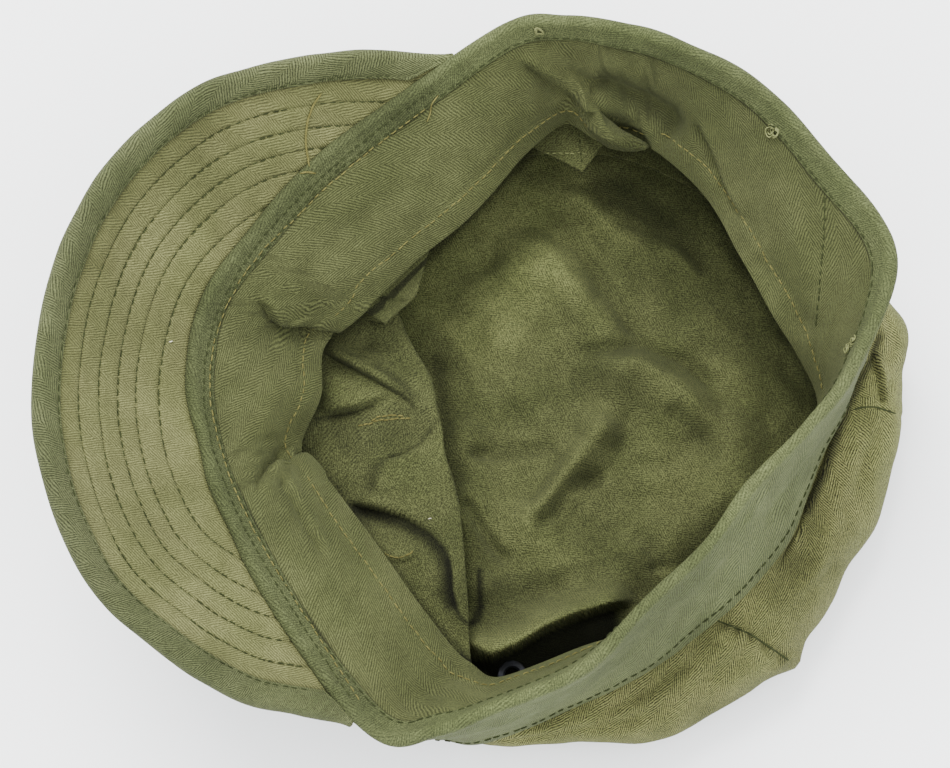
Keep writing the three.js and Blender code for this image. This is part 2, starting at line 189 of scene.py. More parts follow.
# Soft folds that stand up from the crown's top: a line on the table, its rise and half width
TOP_FOLDS = [
    dict(name="front swell", start=(-34, -6), end=(-28, -50), rise=7, half=9),
    dict(name="rear left roll", start=(-27, -70), end=(8, -61), rise=10, half=9),
    dict(name="middle fold", start=(-10, -28), end=(8, -4), rise=7, half=7),
    dict(name="upper fold", start=(-14, 50), end=(14, 16), rise=6, half=10),
    dict(name="right fold", start=(20, 14), end=(48, -4), rise=8, half=9),
    dict(name="lower fold", start=(22, -40), end=(48, -22), rise=7, half=9),
]

# Creases, each along a line of pixels. high is its rise on the line's left side, low on its right
# side (left as seen along the line in the picture), and each fades out over its half width in
# pixels. Equal values make a ridge or a valley, unequal ones a fold's lip.
FLOOR_CREASES = [
    dict(name="upper valley", line=[(592, 175), (630, 196), (665, 221), (683, 239), (719, 284)],
         high=-3.5, low=-3.5, over=15, under=11),
    dict(name="upper swell", line=[(567, 190), (613, 232), (683, 264), (728, 290)],
         high=2.0, low=2.0, over=13, under=16),
    dict(name="diagonal valley", line=[(545, 195), (585, 255), (612, 296), (646, 348)],
         high=-2.6, low=-2.6, over=8, under=10),
    dict(name="diagonal swell", line=[(525, 225), (567, 279), (600, 318), (628, 345)],
         high=1.8, low=1.8, over=11, under=20),
    dict(name="short valley", line=[(571, 200), (600, 240), (615, 252)],
         high=-1.4, low=-1.4, over=7, under=7),
    dict(name="cross valley", line=[(569, 356), (644, 347), (688, 364), (720, 396)],
         high=-2.4, low=-2.4, over=7, under=9),
    dict(name="cross swell", line=[(592, 372), (640, 366), (682, 388), (704, 420)],
         high=1.7, low=1.7, over=7, under=14),
    dict(name="narrow valley", line=[(462, 456), (500, 455), (560, 449)],
         high=-2.8, low=-2.8, over=9, under=6),
    dict(name="falling ridge", line=[(613, 418), (585, 452), (565, 478), (532, 522)],
         high=2.3, low=2.3, over=14, under=11),
    dict(name="hook valley", line=[(612, 478), (584, 482), (566, 494), (554, 514), (530, 536)],
         high=-2.6, low=-2.6, over=9, under=9),
    dict(name="fall valley", line=[(560, 452), (544, 482), (527, 508)],
         high=-1.6, low=-1.6, over=7, under=7),
    dict(name="front valley", line=[(432, 350), (438, 400), (452, 450), (466, 505)],
         high=-2.5, low=-2.5, over=16, under=18),
    dict(name="deep valley", line=[(461, 498), (479, 528), (494, 550), (514, 566)],
         high=-3.0, low=-3.0, over=7, under=8),
    dict(name="round dent", line=[(630, 533), (646, 546), (657, 562), (659, 577)],
         high=-2.2, low=-2.2, over=12, under=8),
    dict(name="right valley", line=[(664, 408), (700, 440), (717, 474)],
         high=-2.0, low=-2.0, over=10, under=10),
    dict(name="middle swell", line=[(577, 380), (545, 395), (510, 412)],
         high=1.3, low=1.3, over=12, under=14),
    dict(name="left valley", line=[(505, 258), (462, 275), (440, 305)],
         high=-1.6, low=-1.6, over=10, under=14),
    dict(name="low swell", line=[(500, 505), (560, 560), (640, 600)],
         high=2.2, low=2.2, over=24, under=22),
    dict(name="slot's lip", line=[(436, 636), (463, 664), (492, 664), (518, 653), (544, 637), (575, 623),
                                  (612, 612), (640, 600)],
         high=9.0, low=-2.0, over=24, under=5),
]

# Deep shade on the right side of a line of pixels, full as far as reach and gone fade further on.
# A negative shade is a facet that faces the light.
SHADES = [
    dict(name="slot behind the rear roll", shade=0.88, reach=34, fade=8,
         line=[(455, 648), (468, 659), (492, 657), (518, 647), (544, 633), (575, 622), (600, 613),
               (622, 611)]),
    dict(name="pocket", shade=0.8, reach=5, fade=16,
         line=[(345, 500), (378, 508), (405, 516), (433, 533), (448, 549), (453, 566), (454, 590),
               (461, 614)]),
    dict(name="tongue's slit", shade=0.75, reach=3, fade=7,
         line=[(468, 626), (477, 604), (476, 566)]),
    dict(name="behind the band", shade=0.72, reach=3, fade=9,
         line=[(800, 520), (822, 470), (842, 412), (853, 387), (866, 360), (880, 325)]),
    dict(name="right pleat", shade=0.5, reach=2, fade=8,
         line=[(882, 405), (879, 380), (872, 352)]),
    dict(name="rear pleat", shade=0.45, reach=0, fade=10,
         line=[(715, 621), (733, 628), (750, 635), (771, 649), (793, 664)]),
    dict(name="beside the tuck's tip", shade=0.33, reach=4, fade=14,
         line=[(456, 505), (446, 460), (440, 410), (430, 350)]),
    dict(name="long fold", shade=0.6, reach=1, fade=6,
         line=[(320, 347), (340, 357), (359, 367), (379, 379), (403, 392), (420, 410)]),
    dict(name="above the long fold", shade=0.38, reach=3, fade=9,
         line=[(414, 404), (400, 388), (384, 376), (370, 368)]),
    dict(name="triangle's foot", shade=0.55, reach=1, fade=7,
         line=[(312, 418), (330, 415), (352, 410), (376, 403)]),
    dict(name="triangle", shade=-0.2, reach=26, fade=14,
         line=[(322, 352), (356, 370), (400, 398)]),
    dict(name="big facet", shade=-0.17, reach=44, fade=26,
         line=[(378, 470), (400, 459), (424, 446), (452, 410)]),
    dict(name="facet crease", shade=0.5, reach=0, fade=7,
         line=[(441, 418), (424, 444), (400, 457), (384, 460)]),
    dict(name="middle facet", shade=0.16, reach=26, fade=16,
         line=[(330, 432), (372, 412), (432, 404)]),
    dict(name="tongue's tip", shade=0.6, reach=2, fade=6,
         line=[(450, 556), (454, 590), (460, 612), (468, 621), (477, 619), (481, 600)]),
    dict(name="lip beyond the tongue", shade=-0.3, reach=4, fade=9,
         line=[(470, 652), (456, 642), (434, 618), (412, 590)]),
    dict(name="valley above the pocket", shade=0.3, reach=3, fade=14,
         line=[(388, 461), (379, 476), (376, 496)]),
    dict(name="floor above the slot", shade=0.2, reach=50, fade=20,
         line=[(470, 580), (545, 570), (655, 545)]),
    dict(name="floor beneath the left flap", shade=-0.6, reach=80, fade=60,
         line=[(396, 300), (452, 240), (500, 190), (556, 140)]),
]
# The shade that the sweatband's loose edge casts close to itself
EDGE_SHADE = 0.42
EDGE_SHADE_REACH = 7.0

TUCK_CREASES = [
    dict(name="long fold", line=[(318, 346), (350, 364), (377, 379), (402, 395), (430, 415)],
         high=3.4, low=-3.6, over=8, under=16),
    dict(name="long fold's back", line=[(356, 338), (385, 352), (412, 378), (430, 396)],
         high=-3.0, low=-3.0, over=8, under=7),
    dict(name="flap's corner", line=[(362, 316), (385, 321), (398, 308), (410, 290)],
         high=1.6, low=-2.2, over=10, under=6),
    dict(name="upper facet", line=[(320, 413), (356, 407), (370, 402), (392, 394)],
         high=2.4, low=-3.2, over=20, under=15),
    dict(name="lower facet", line=[(378, 463), (400, 458), (423, 445), (434, 428)],
         high=-2.4, low=1.8, over=16, under=18),
    dict(name="facet valley", line=[(379, 462), (374, 478), (377, 494)],
         high=1.0, low=-1.0, over=14, under=14),
    dict(name="pocket lip", line=[(345, 500), (378, 508), (405, 516), (433, 533), (448, 549), (453, 566),
                                  (454, 590), (461, 614)],
         high=1.4, low=-7.0, over=14, under=17),
    dict(name="tongue side", line=[(479, 566), (478, 586), (479, 614)],
         high=-5.0, low=0.8, over=9, under=7),
    dict(name="turned tab", line=[(372, 540), (384, 555), (392, 560), (401, 561), (413, 557), (418, 545)],
         high=1.2, low=-0.6, over=8, under=4),
]

SIDE_CREASES = [
    dict(name="lower pleat", line=[(713, 620), (747, 637), (790, 665)],
         high=0.2, low=1.7, over=5, under=16),
    dict(name="lower pleat's groove", line=[(713, 619), (747, 636), (791, 664)],
         high=-1.5, low=-0.2, over=5, under=1.5),
    dict(name="upper seam", line=[(860, 408), (876, 408), (899, 415)],
         high=0.9, low=0.1, over=9, under=4),
    dict(name="upper seam's groove", line=[(860, 409), (876, 409), (899, 416)],
         high=-0.2, low=-1.2, over=1.5, under=4),
    dict(name="under band", line=[(866, 350), (846, 400), (828, 455), (800, 530), (778, 575)],
         high=0.0, low=-2.5, over=5, under=7),
    dict(name="right crease", line=[(872, 352), (880, 385), (884, 408)],
         high=1.2, low=-1.4, over=8, under=8),
    dict(name="right hollow", line=[(868, 440), (862, 480), (842, 520)],
         high=-1.3, low=-1.3, over=10, under=10),
    dict(name="upper pleat", line=[(900, 350), (887, 372), (872, 385)],
         high=1.0, low=1.0, over=6, under=6),
    dict(name="long hollow", line=[(700, 655), (650, 690), (590, 722)],
         high=-1.2, low=-1.2, over=8, under=8),
]

BAND_CREASES = [
    dict(name="pale crease", line=[(425, 739), (470, 731), (520, 716), (562, 700)],
         high=0.9, low=0.1, over=6, under=4),
    dict(name="upper hollow", line=[(806, 450), (787, 492), (762, 530)],
         high=-1.1, low=-1.1, over=6, under=8),
    dict(name="middle swell", line=[(780, 462), (757, 497), (738, 530)],
         high=0.9, low=0.9, over=5, under=6),
    dict(name="middle hollow", line=[(738, 556), (700, 590), (665, 615)],
         high=-0.9, low=-0.9, over=7, under=7),
    dict(name="low swell", line=[(700, 612), (660, 640), (620, 662)],
         high=0.7, low=0.7, over=7, under=7),
    dict(name="low hollow", line=[(640, 640), (600, 668), (560, 690)],
         high=-0.8, low=-0.8, over=7, under=7),
]

SWEATBAND_CREASES = [
    dict(name="left flap's valley", line=[(395, 190), (330, 245), (285, 285)],
         high=-1.0, low=-1.0, over=14, under=14),
    dict(name="front valley", line=[(225, 345), (250, 335), (282, 322)],
         high=-1.3, low=-1.3, over=15, under=13),
    dict(name="front swell", line=[(240, 380), (262, 400), (270, 440)],
         high=1.2, low=1.2, over=16, under=16),
    dict(name="low flap's fold", line=[(276, 468), (296, 500), (318, 540), (326, 560)],
         high=1.1, low=-1.4, over=8, under=7),
    dict(name="low dip", line=[(470, 665), (435, 690), (395, 712)],
         high=-1.5, low=-1.5, over=14, under=12),
    dict(name="top ridge", line=[(518, 55), (545, 76), (570, 92), (600, 106)],
         high=2.0, low=-1.8, over=10, under=8),
    dict(name="top hollow", line=[(586, 84), (612, 91), (640, 104), (664, 120), (676, 144)],
         high=-5.5, low=-5.5, over=13, under=9),
    dict(name="upper flap's edge", line=[(256, 296), (283, 318), (322, 342)],
         high=2.2, low=-2.6, over=13, under=9),
    dict(name="lower flap's edge", line=[(256, 492), (272, 466), (292, 446)],
         high=-2.6, low=2.0, over=9, under=12),
    dict(name="right swell", line=[(770, 170), (800, 230), (815, 290)],
         high=1.1, low=1.1, over=22, under=22),
    dict(name="right fold", line=[(696, 118), (714, 154), (728, 190), (744, 222)],
         high=1.3, low=-1.7, over=14, under=8),
    dict(name="right hollow", line=[(752, 250), (790, 300), (812, 340)],
         high=-1.2, low=-1.2, over=10, under=10),
    dict(name="top left dent", line=[(500, 60), (535, 75), (560, 100)],
         high=-1.0, low=-1.0, over=12, under=12),
]

# Z-pleats in the sweatband: their angle at the rim and at the loose edge, half width in degrees,
# how far one side laps over the other, how far they stand apart, and the share of the way down at
# which the pleat starts
SWEATBAND_PLEATS = [
    dict(name="upper dart", top=170, at=161, half=5.5, lap=8.0, apart=3.0, start=0.42, over_is_next=False),
    dict(name="lower dart", top=195, at=195, half=4.0, lap=6.5, apart=3.0, start=0.60, over_is_next=True),
    dict(name="top fold", top=94, at=78, half=5.5, lap=9.0, apart=5.0, start=0.42, over_is_next=True),
]

# Pleats in the crown's side behind the band, each a small corner in the cap's outline
SIDE_PLEATS = [
    dict(name="rear pleat", at=310.5, out=4.6, spread=3.4),
    dict(name="side pleat", at=13, out=4.2, spread=5),
    dict(name="right hollow", at=350, out=-1.6, spread=8),
    dict(name="rear hollow", at=332, out=-1.6, spread=7),
    dict(name="lower swell", at=294, out=0.9, spread=7),
]

# Seams and loose threads, as lines of pixels on the piece that they are sewn to
JOINT_SEAM_GREEN = [(434, 90), (400, 112), (350, 152), (300, 196), (262, 238), (236, 275), (216, 315),
                    (205, 358), (203, 400), (212, 448), (231, 500), (256, 550), (290, 606), (322, 655),
                    (352, 700)]
JOINT_SEAM_TAN = [(426, 108), (370, 150), (322, 191), (290, 223), (264, 248), (243, 275), (226, 306),
                  (214, 340), (210, 370), (210, 404), (218, 442), (232, 484), (252, 528), (282, 580),
                  (318, 636), (350, 686), (362, 704)]
RIGHT_SEAM = [(825, 196), (824, 240), (820, 282), (816, 330)]
CHAIN_MARK = [(357, 426), (366, 425), (376, 421), (392, 419), (412, 418)]
CHAIN_BACK = [(371, 421), (378, 417), (390, 415), (404, 416)]
TAB_SEAM = [(384, 553), (391, 557), (400, 558), (410, 554), (415, 547)]
TOP_SEAM = [(543, 153), (567, 153), (591, 153)]
PLEAT_SEAM = [(716, 620), (733, 627), (750, 634), (771, 648), (791, 662)]
UPPER_SEAM = [(853, 410), (864, 407), (876, 407), (897, 414)]
FLAP_CORNERS = [(524, 142), (583, 172), (611, 134), (560, 92)]
FLAP_HEIGHT = 30.0
PLEAT_CORNERS = [(356, 306), (385, 324), (416, 296), (430, 246)]
PLEAT_HEIGHTS = [41.0, 40.0, 39.0, 41.0]
PLEAT_CREASES = [
    dict(name="pleat's edge", line=[(372, 292), (386, 295), (410, 299)],
         high=1.0, low=-1.0, over=8, under=5),
]
FLAP_CROSS = [(579, 133), (580, 150), (583, 167)]
LOOSE_THREAD = [(321, 93), (313, 104), (307, 121), (305, 138), (306, 151), (310, 168)]
LOOSE_END = [(300, 174), (307, 172), (316, 173)]
JOINT_THREAD = [(438, 95), (431, 104), (430, 114), (426, 123)]
KNOTS = [(773, 129), (777, 133), (854, 342), (850, 348), (540, 30)]
SPECKS = [(171, 342), (430, 519)]


def lerp(a, b, share):
    return a + (b - a) * share


def unit(vectors):
    return vectors / np.maximum(np.linalg.norm(vectors, axis=-1, keepdims=True), 1e-9)


def smooth(low, high, value):
    share = np.clip((value - low) / (high - low), 0, 1)
    return share * share * (3 - 2 * share)


def pixel_of(points):
    away = points - VIEWPOINT
    depth = away @ -VIEW_BACK
    u = PHOTO_WIDTH / 2 + PIXELS_FOCAL * (away @ VIEW_RIGHT) / depth
    v = PHOTO_HEIGHT / 2 - PIXELS_FOCAL * (away @ VIEW_UP) / depth
    return u, v


def sight_line(u, v):
    ray = -VIEW_BACK * PIXELS_FOCAL + VIEW_RIGHT * (u - PHOTO_WIDTH / 2) - VIEW_UP * (v - PHOTO_HEIGHT / 2)
    return ray / np.linalg.norm(ray)


def level_with(u, v, height):
    """The place at a height that the camera sees at a pixel"""
    ray = sight_line(u, v)
    return VIEWPOINT + ray * (height - VIEWPOINT[2]) / ray[2]


# Curves through the sections

def place(at, radius, height):
    angle = np.radians(at)
    return np.array([radius * np.cos(angle), radius * np.sin(angle), height])


def hermite(p1, p2, t1, t2, step):
    """The cubic from p1 to p2 that leaves along t1 and arrives along t2"""
    return p1 + step * (t1 + step * (3 * (p2 - p1) - 2 * t1 - t2 + step * (2 * (p1 - p2) + t1 + t2)))


def ring(place_in, shares):
    """A smooth closed curve through one place of every section"""
    points = np.array([place(row["at"], *place_in(row)) for row in SECTIONS])
    count = len(points)
    index = np.asarray(shares) * count
    start = np.floor(index).astype(int)
    step = (index - start)[:, None]
    p0, p1, p2, p3 = (points[(start + k) % count] for k in (-1, 0, 1, 2))
    return hermite(p1, p2, (p2 - p0) / 2, (p3 - p1) / 2, step)


def ring_of(column):
    return lambda shares: ring(lambda row: row[column], shares)


rim_ring = ring_of("rim")
free_ring = ring_of("free")
edge_ring = ring_of("edge")
ridge_ring = ring_of("ridge")
wide_ring = ring_of("wide")


def foot_ring(shares):
    return ring(lambda row: (row["foot"], FOOT_HEIGHT), shares)


def tangent(curve, shares):
    step = 1e-3
    return unit(curve(shares + step) - curve(shares - step))


def inward(curve, shares):
    along = tangent(curve, shares)
    return unit(np.stack([-along[:, 1], along[:, 0], 0 * along[:, 0]], axis=1))


def through(places, legs):
    """A smooth curve through the same places of many sections, at legs between them"""
    padded = [2 * places[0] - places[1], *places, 2 * places[-1] - places[-2]]
    rows = []
    for leg in legs:
        start = min(int(leg), len(places) - 2)
        step = leg - start
        p0, p1, p2, p3 = padded[start:start + 4]
        d0, d1, d2 = (np.sqrt(np.linalg.norm(b - a, axis=-1, keepdims=True))
                      for a, b in ((p0, p1), (p1, p2), (p2, p3)))
        t1 = ((p1 - p0) / d0 - (p2 - p0) / (d0 + d1) + (p2 - p1) / d1) * d1
        t2 = ((p2 - p1) / d1 - (p3 - p1) / (d1 + d2) + (p3 - p2) / d2) * d1
        rows.append(hermite(p1, p2, t1, t2, step))
    return np.stack(rows, axis=-2)


def angle_at(shares):
    return np.interp(shares * len(SECTIONS), np.arange(len(SECTION_ANGLES)), SECTION_ANGLES)


def share_at(angles):
    return np.interp(angles, SECTION_ANGLES, np.arange(len(SECTION_ANGLES))) / len(SECTIONS)


def between(value, start, full, fading, end):
    """1 from full to fading, falling to 0 at start and at end"""
    return smooth(start, full, value) * smooth(end, fading, value)


def even_shares(steps, denser=1.0):
    """Shares that are evenly spaced along the rim, or denser in front, where the side is tucked"""
    fine = np.linspace(0, 1, 4001)
    points = rim_ring(fine)
    weight = 1 + (denser - 1) * between(angle_at(fine)[1:], 128, 142, 258, 272)
    run = np.concatenate([[0], np.cumsum(np.linalg.norm(np.diff(points, axis=0), axis=1) * weight)])
    return np.interp(np.arange(steps) / steps * run[-1], run, fine)


def turned_by(angles, at):
    return (angles - at + 180) % 360 - 180


# Relief

def beside_line(u, v, line):
    """Distance from a line of pixels, positive on its left, and the share of the way along it"""
    line = np.array(line, float)
    lengths = np.linalg.norm(np.diff(line, axis=0), axis=1)
    runs = np.concatenate([[0], np.cumsum(lengths)])
    best = np.full(np.shape(u), 1e9)
    side = np.ones(np.shape(u))
    share = np.zeros(np.shape(u))
    for (a, b, length, run) in zip(line[:-1], line[1:], lengths, runs[:-1]):
        du, dv = (b - a) / length
        along = np.clip((u - a[0]) * du + (v - a[1]) * dv, 0, length)
        across = (u - a[0]) * dv - (v - a[1]) * du
        distance = np.hypot(u - a[0] - along * du, v - a[1] - along * dv)
        nearer = distance < best
        best = np.where(nearer, distance, best)
        side = np.where(nearer, np.where(across >= 0, 1.0, -1.0), side)
        share = np.where(nearer, (run + along) / runs[-1], share)
    return best * side, share


def fading_ends(share, over):
    return smooth(0, over, share) * smooth(0, over, 1 - share)


def crease_field(points, creases):
    u, v = pixel_of(points)
    field = np.zeros(u.shape)
    for crease in creases:
        distance, share = beside_line(u, v, crease["line"])
        ends = fading_ends(share, CREASE_ENDS)
        left = crease["high"] * np.exp(-(distance / crease["over"]) ** 2)
        right = crease["low"] * np.exp(-(distance / crease["under"]) ** 2)
        step = smooth(-LIP, LIP, distance)
        field += ends * lerp(right, left, step)
    return field


def shaded(points, edge):
    """How much of the light the deep folds keep from a surface, and the loose edge above it"""
    u, v = pixel_of(points)
    light = np.ones(u.shape)
    for fold in SHADES:
        beyond, share = beside_line(u, v, fold["line"])
        ends = fading_ends(share, SHADE_ENDS)
        far = smooth(-fold["reach"] - fold["fade"], -fold["reach"], beyond)
        light *= 1 - fold["shade"] * ends * smooth(SHADE_STARTS, SHADE_FULL, beyond) * far
    near, _ = beside_line(u, v, np.stack(pixel_of(edge), axis=1))
    return light * (1 - EDGE_SHADE * np.exp(-(near / EDGE_SHADE_REACH) ** 2))


def rumple(points, seed, wavelength, height):
    """Soft unevenness of cloth: a sum of plane waves in mixed directions"""
    draw = np.random.default_rng(seed)
    total = np.zeros(points.shape[:-1])
    for _ in range(WAVES):
        direction = draw.normal(size=3)
        direction *= 2 * math.pi / wavelength * draw.uniform(0.6, 1.6) / np.linalg.norm(direction)
        total += np.sin(points @ direction + draw.uniform(0, 2 * math.pi))
    return height * total / math.sqrt(WAVES)


def crumple(points, seed, wavelength, height):
    """Sharp crease lines between soft swells"""
    field = rumple(points, seed, wavelength, 1.0)
    return height * (np.sqrt(field ** 2 + CRUMPLE_ROUND) - CRUMPLE_MEAN)


def crease_shading(relief, strength):
    """Painted shade in the valleys, a little darker than the cloth round them, and painted highlight on the
    ridges
    """
    return np.clip(strength * relief, DARKEST, LIGHTEST)


def top_lift(x, y):
    lift = np.zeros(np.shape(x))
    for fold in TOP_FOLDS:
        start = np.array(fold["start"], float)
        along = np.array(fold["end"], float) - start
        share = ((x - start[0]) * along[0] + (y - start[1]) * along[1]) / (along @ along)
        share = np.clip(share, 0, 1)
        away = np.hypot(x - start[0] - share * along[0], y - start[1] - share * along[1])
        lift += fold["rise"] * np.exp(-(away / fold["half"]) ** 2)
    return np.maximum(0, lift - FLAT_BELOW)


# Meshes

def grid_normals(grid, goes_round):
    if goes_round:
        round_way = np.roll(grid, -1, axis=0) - np.roll(grid, 1, axis=0)
    else:
        round_way = np.gradient(grid, axis=0)
    down_way = np.gradient(grid, axis=1)
    return unit(np.cross(round_way, down_way))


def edge_rounding(grid, half, at_start, at_end):
    """The cloth's half thickness over its width, rounded off at its edges"""
    steps = np.linalg.norm(np.diff(grid, axis=1), axis=2).mean(axis=0)
    run = np.concatenate([[0], np.cumsum(steps)])
    share = np.ones(len(run))
    for used, distance in ((at_start, run), (at_end, run[-1] - run)):
        if used:
            near = np.clip(distance / half, 0.06, 1)
            share = np.minimum(share, np.sqrt(1 - (1 - near) ** 2))
    return half * share


def mesh(name, points, faces, uv=None, tone=None, reverse=None):
    """A mesh object in metres in the part's frame. faces is an array of quads or triangles."""
    data = bpy.data.meshes.new(name)
    faces = np.asarray(faces, dtype=np.int32)
    corners = faces.shape[1]
    data.vertices.add(len(points))
    data.vertices.foreach_set("co", ((np.asarray(points) + OPENING) * MM).astype(np.float32).ravel())
    data.loops.add(faces.size)
    data.loops.foreach_set("vertex_index", faces.ravel())
    data.polygons.add(len(faces))
    data.polygons.foreach_set("loop_start", np.arange(0, faces.size, corners, dtype=np.int32))
    data.polygons.foreach_set("loop_total", np.full(len(faces), corners, dtype=np.int32))
    data.update(calc_edges=True)
    data.polygons.foreach_set("use_smooth", np.full(len(faces), True))
    if uv is not None:
        layer = data.uv_layers.new(name="Weave")
        layer.data.foreach_set("uv", (np.asarray(uv) * MM).astype(np.float32).ravel())
    for label, values in (("tone", tone), ("reverse", reverse)):
        if values is not None:
            attribute = data.attributes.new(label, "FLOAT", "POINT")
            attribute.data.foreach_set("value", np.asarray(values, dtype=np.float32).ravel())
    piece = bpy.data.objects.new(name, data)
    bpy.context.scene.collection.objects.link(piece)
    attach(piece, "root")
    return piece


def wall(name, grid, half, goes_round, tone, uv_row=None, front_is_reverse=False, stretch=1.0,
         worn=0.0):
    """Closed cloth from the grid of its middle surface: front side, back side and edges. The weave
    runs along row uv_row, or lies flat without one. stretch is the weave's length down the grid for
    each step, and worn is how much of the reverse's look a column has."""
    count, width = grid.shape[:2]
    normals = grid_normals(grid, goes_round)
    offset = normals * half[None, :, None]
    points = np.concatenate([(grid + offset).reshape(-1, 3), (grid - offset).reshape(-1, 3)])
    last = count if goes_round else count - 1
    i, j = np.meshgrid(np.arange(last), np.arange(width - 1), indexing="ij")
    i, j = i.ravel(), j.ravel()
    after = (i + 1) % count
    layer = count * width

    def at(a, b):
        return a * width + b

    front = np.stack([at(i, j), at(i, j + 1), at(after, j + 1), at(after, j)], axis=1)
    back = np.stack([at(i, j), at(after, j), at(after, j + 1), at(i, j + 1)], axis=1) + layer
    k = np.arange(last)
    next_k = (k + 1) % count
    start = np.stack([at(k, 0), at(next_k, 0), at(next_k, 0) + layer, at(k, 0) + layer], axis=1)
    end_j = width - 1
    end = np.stack([at(k, end_j), at(k, end_j) + layer, at(next_k, end_j) + layer, at(next_k, end_j)],
                   axis=1)
    groups = [front, back, start, end]
    if not goes_round:
        m = np.arange(width - 1)
        tail = count - 1
        groups.append(np.stack([at(0, m), at(0, m) + layer, at(0, m + 1) + layer, at(0, m + 1)], axis=1))
        groups.append(np.stack([at(tail, m), at(tail, m + 1), at(tail, m + 1) + layer,
                                at(tail, m) + layer], axis=1))
    faces = np.concatenate(groups)

    tones = np.tile(tone.ravel(), 2)
    if uv_row is None:
        return mesh(name, points, faces, points[faces.ravel()][:, :2] * PANEL_SLOPE, tones)

    closed = np.concatenate([grid, grid[:1]]) if goes_round else grid
    steps = np.linalg.norm(np.diff(closed[:, uv_row], axis=0), axis=1)
    round_run = np.concatenate([[0], np.cumsum(steps)])
    down = np.linalg.norm(np.diff(grid, axis=1), axis=2) * stretch
    down_run = np.concatenate([np.zeros((count, 1)), np.cumsum(down, axis=1)], axis=1)
    columns = faces % layer // width
    rows = faces % layer % width
    u = round_run[columns]
    wraps = (columns.max(axis=1, keepdims=True) == count - 1) & (columns == 0) & goes_round
    u = np.where(wraps & (columns.min(axis=1, keepdims=True) == 0), round_run[-1], u)
    v = down_run[columns, rows]
    uv = np.stack([u, v], axis=2).reshape(-1, 2)
    reverse = np.repeat([1.0 if front_is_reverse else 0.0, 0.0], layer)
    reverse += np.tile(np.broadcast_to(worn, width), 2 * count)
    return mesh(name, points, faces, uv, tones, reverse)


def sampled(*legs):
    """Legs between places, each with its own number of steps"""
    values = []
    for index, steps in enumerate(legs):
        values.extend(index + np.arange(steps) / steps)
    return np.array([*values, float(len(legs))])


# Pieces

def band_grid(shares):
    rim = rim_ring(shares)
    into = inward(rim_ring, shares)
    edge = edge_ring(shares)
    down_inside = unit(free_ring(shares) - rim)
    down_outside = unit(edge - rim)
    inside = rim + into * ROLL_HALF_WIDTH
    outside = rim - into * ROLL_HALF_WIDTH
    up = np.array([0, 0, 1.0])
    rows = []
    for depth in HEM_STEPS:
        rows.append(inside + down_inside * depth)
    for turn in ROLL_TURNS:
        rows.append(rim + into * ROLL_HALF_WIDTH * math.cos(turn) + up * ROLL_CROWN * math.sin(turn))
    rows.append(outside + down_outside * 0.8)
    start = outside + down_outside * 1.4
    for share in np.concatenate([np.linspace(0, 0.93, 26), [0.95, 0.97, 0.985, 0.994, 1.0]]):
        rows.append(lerp(start, edge, share))
    grid = np.stack(rows, axis=1)
    normals = grid_normals(grid, True)
    run = np.linspace(0, 1, grid.shape[1])
    soft = rumple(grid, 3, 26, 0.55) + rumple(grid, 4, 9, 0.12)
    ease = np.sin(math.pi * np.clip(run * 1.02, 0, 1)) ** 0.5
    ease = lerp(0.3, 1.0, smooth(0.4, 0.6, run)) * ease
    outside = smooth(0.38, 0.46, run) * smooth(1.0, 0.93, run)
    soft = soft * ease - crease_field(grid, BAND_CREASES) * outside
    return grid + normals * soft[..., None]


def sweatband_grid(shares):
    rim = rim_ring(shares)
    free = free_ring(shares)
    down = unit(free - rim)
    top = rim + down * SWEATBAND_START
    shares_down = np.concatenate([np.linspace(0, 0.97, 40), [0.98, 0.988, 0.994, 0.998, 1.0]])
    rows = []
    for share in shares_down:
        sag = SWEATBAND_SAG * math.sin(math.pi * share)
        rows.append(lerp(top, free, share) + np.array([0, 0, sag]))
    grid = np.stack(rows, axis=1)
    normals = grid_normals(grid, True)
    along = tangent(free_ring, shares)[:, None, :]
    angles = angle_at(shares)[:, None]
    shift = np.zeros(grid.shape)
    for pleat in SWEATBAND_PLEATS:
        fallen = np.clip((shares_down - pleat["start"]) / (1 - pleat["start"]), 0, 1)
        middle = lerp(pleat["top"], pleat["at"], fallen)[None, :]
        q = np.clip(turned_by(angles, middle) / pleat["half"], -1, 1)
        grow = smooth(pleat["start"], 1, shares_down)[None, :] ** 0.6
        lap = -pleat["lap"] * np.sin(math.pi * q)
        rise = pleat["apart"] * np.sin(math.pi / 2 * q) * np.cos(math.pi / 2 * q) ** 0.4
        if not pleat["over_is_next"]:
            rise = -rise
        shift += (lap * grow)[..., None] * along + (rise * grow)[..., None] * normals
    relief = crease_field(grid, SWEATBAND_CREASES) + rumple(grid, 11, 30, 0.5)
    ease = np.sin(math.pi * np.clip(shares_down, 0.02, 1) * 0.75)[None, :]
    width = np.linalg.norm(np.diff(grid, axis=1), axis=2).sum(axis=1)[:, None]
    from_free = (1 - shares_down)[None, :] * width
    groove = -0.28 * np.exp(-((from_free - SWEATBAND_HEM) / 0.7) ** 2)
    fold = 0.3 * smooth(SWEATBAND_HEM, SWEATBAND_HEM - 0.8, from_free)
    return grid + shift + normals * (relief * ease + groove + fold)[..., None]


def side_pleat(shares):
    angles = angle_at(shares)
    out = np.zeros(len(shares))
    for pleat in SIDE_PLEATS:
        out += pleat["out"] * np.exp(-(turned_by(angles, pleat["at"]) / pleat["spread"]) ** 2)
    return out[:, None]


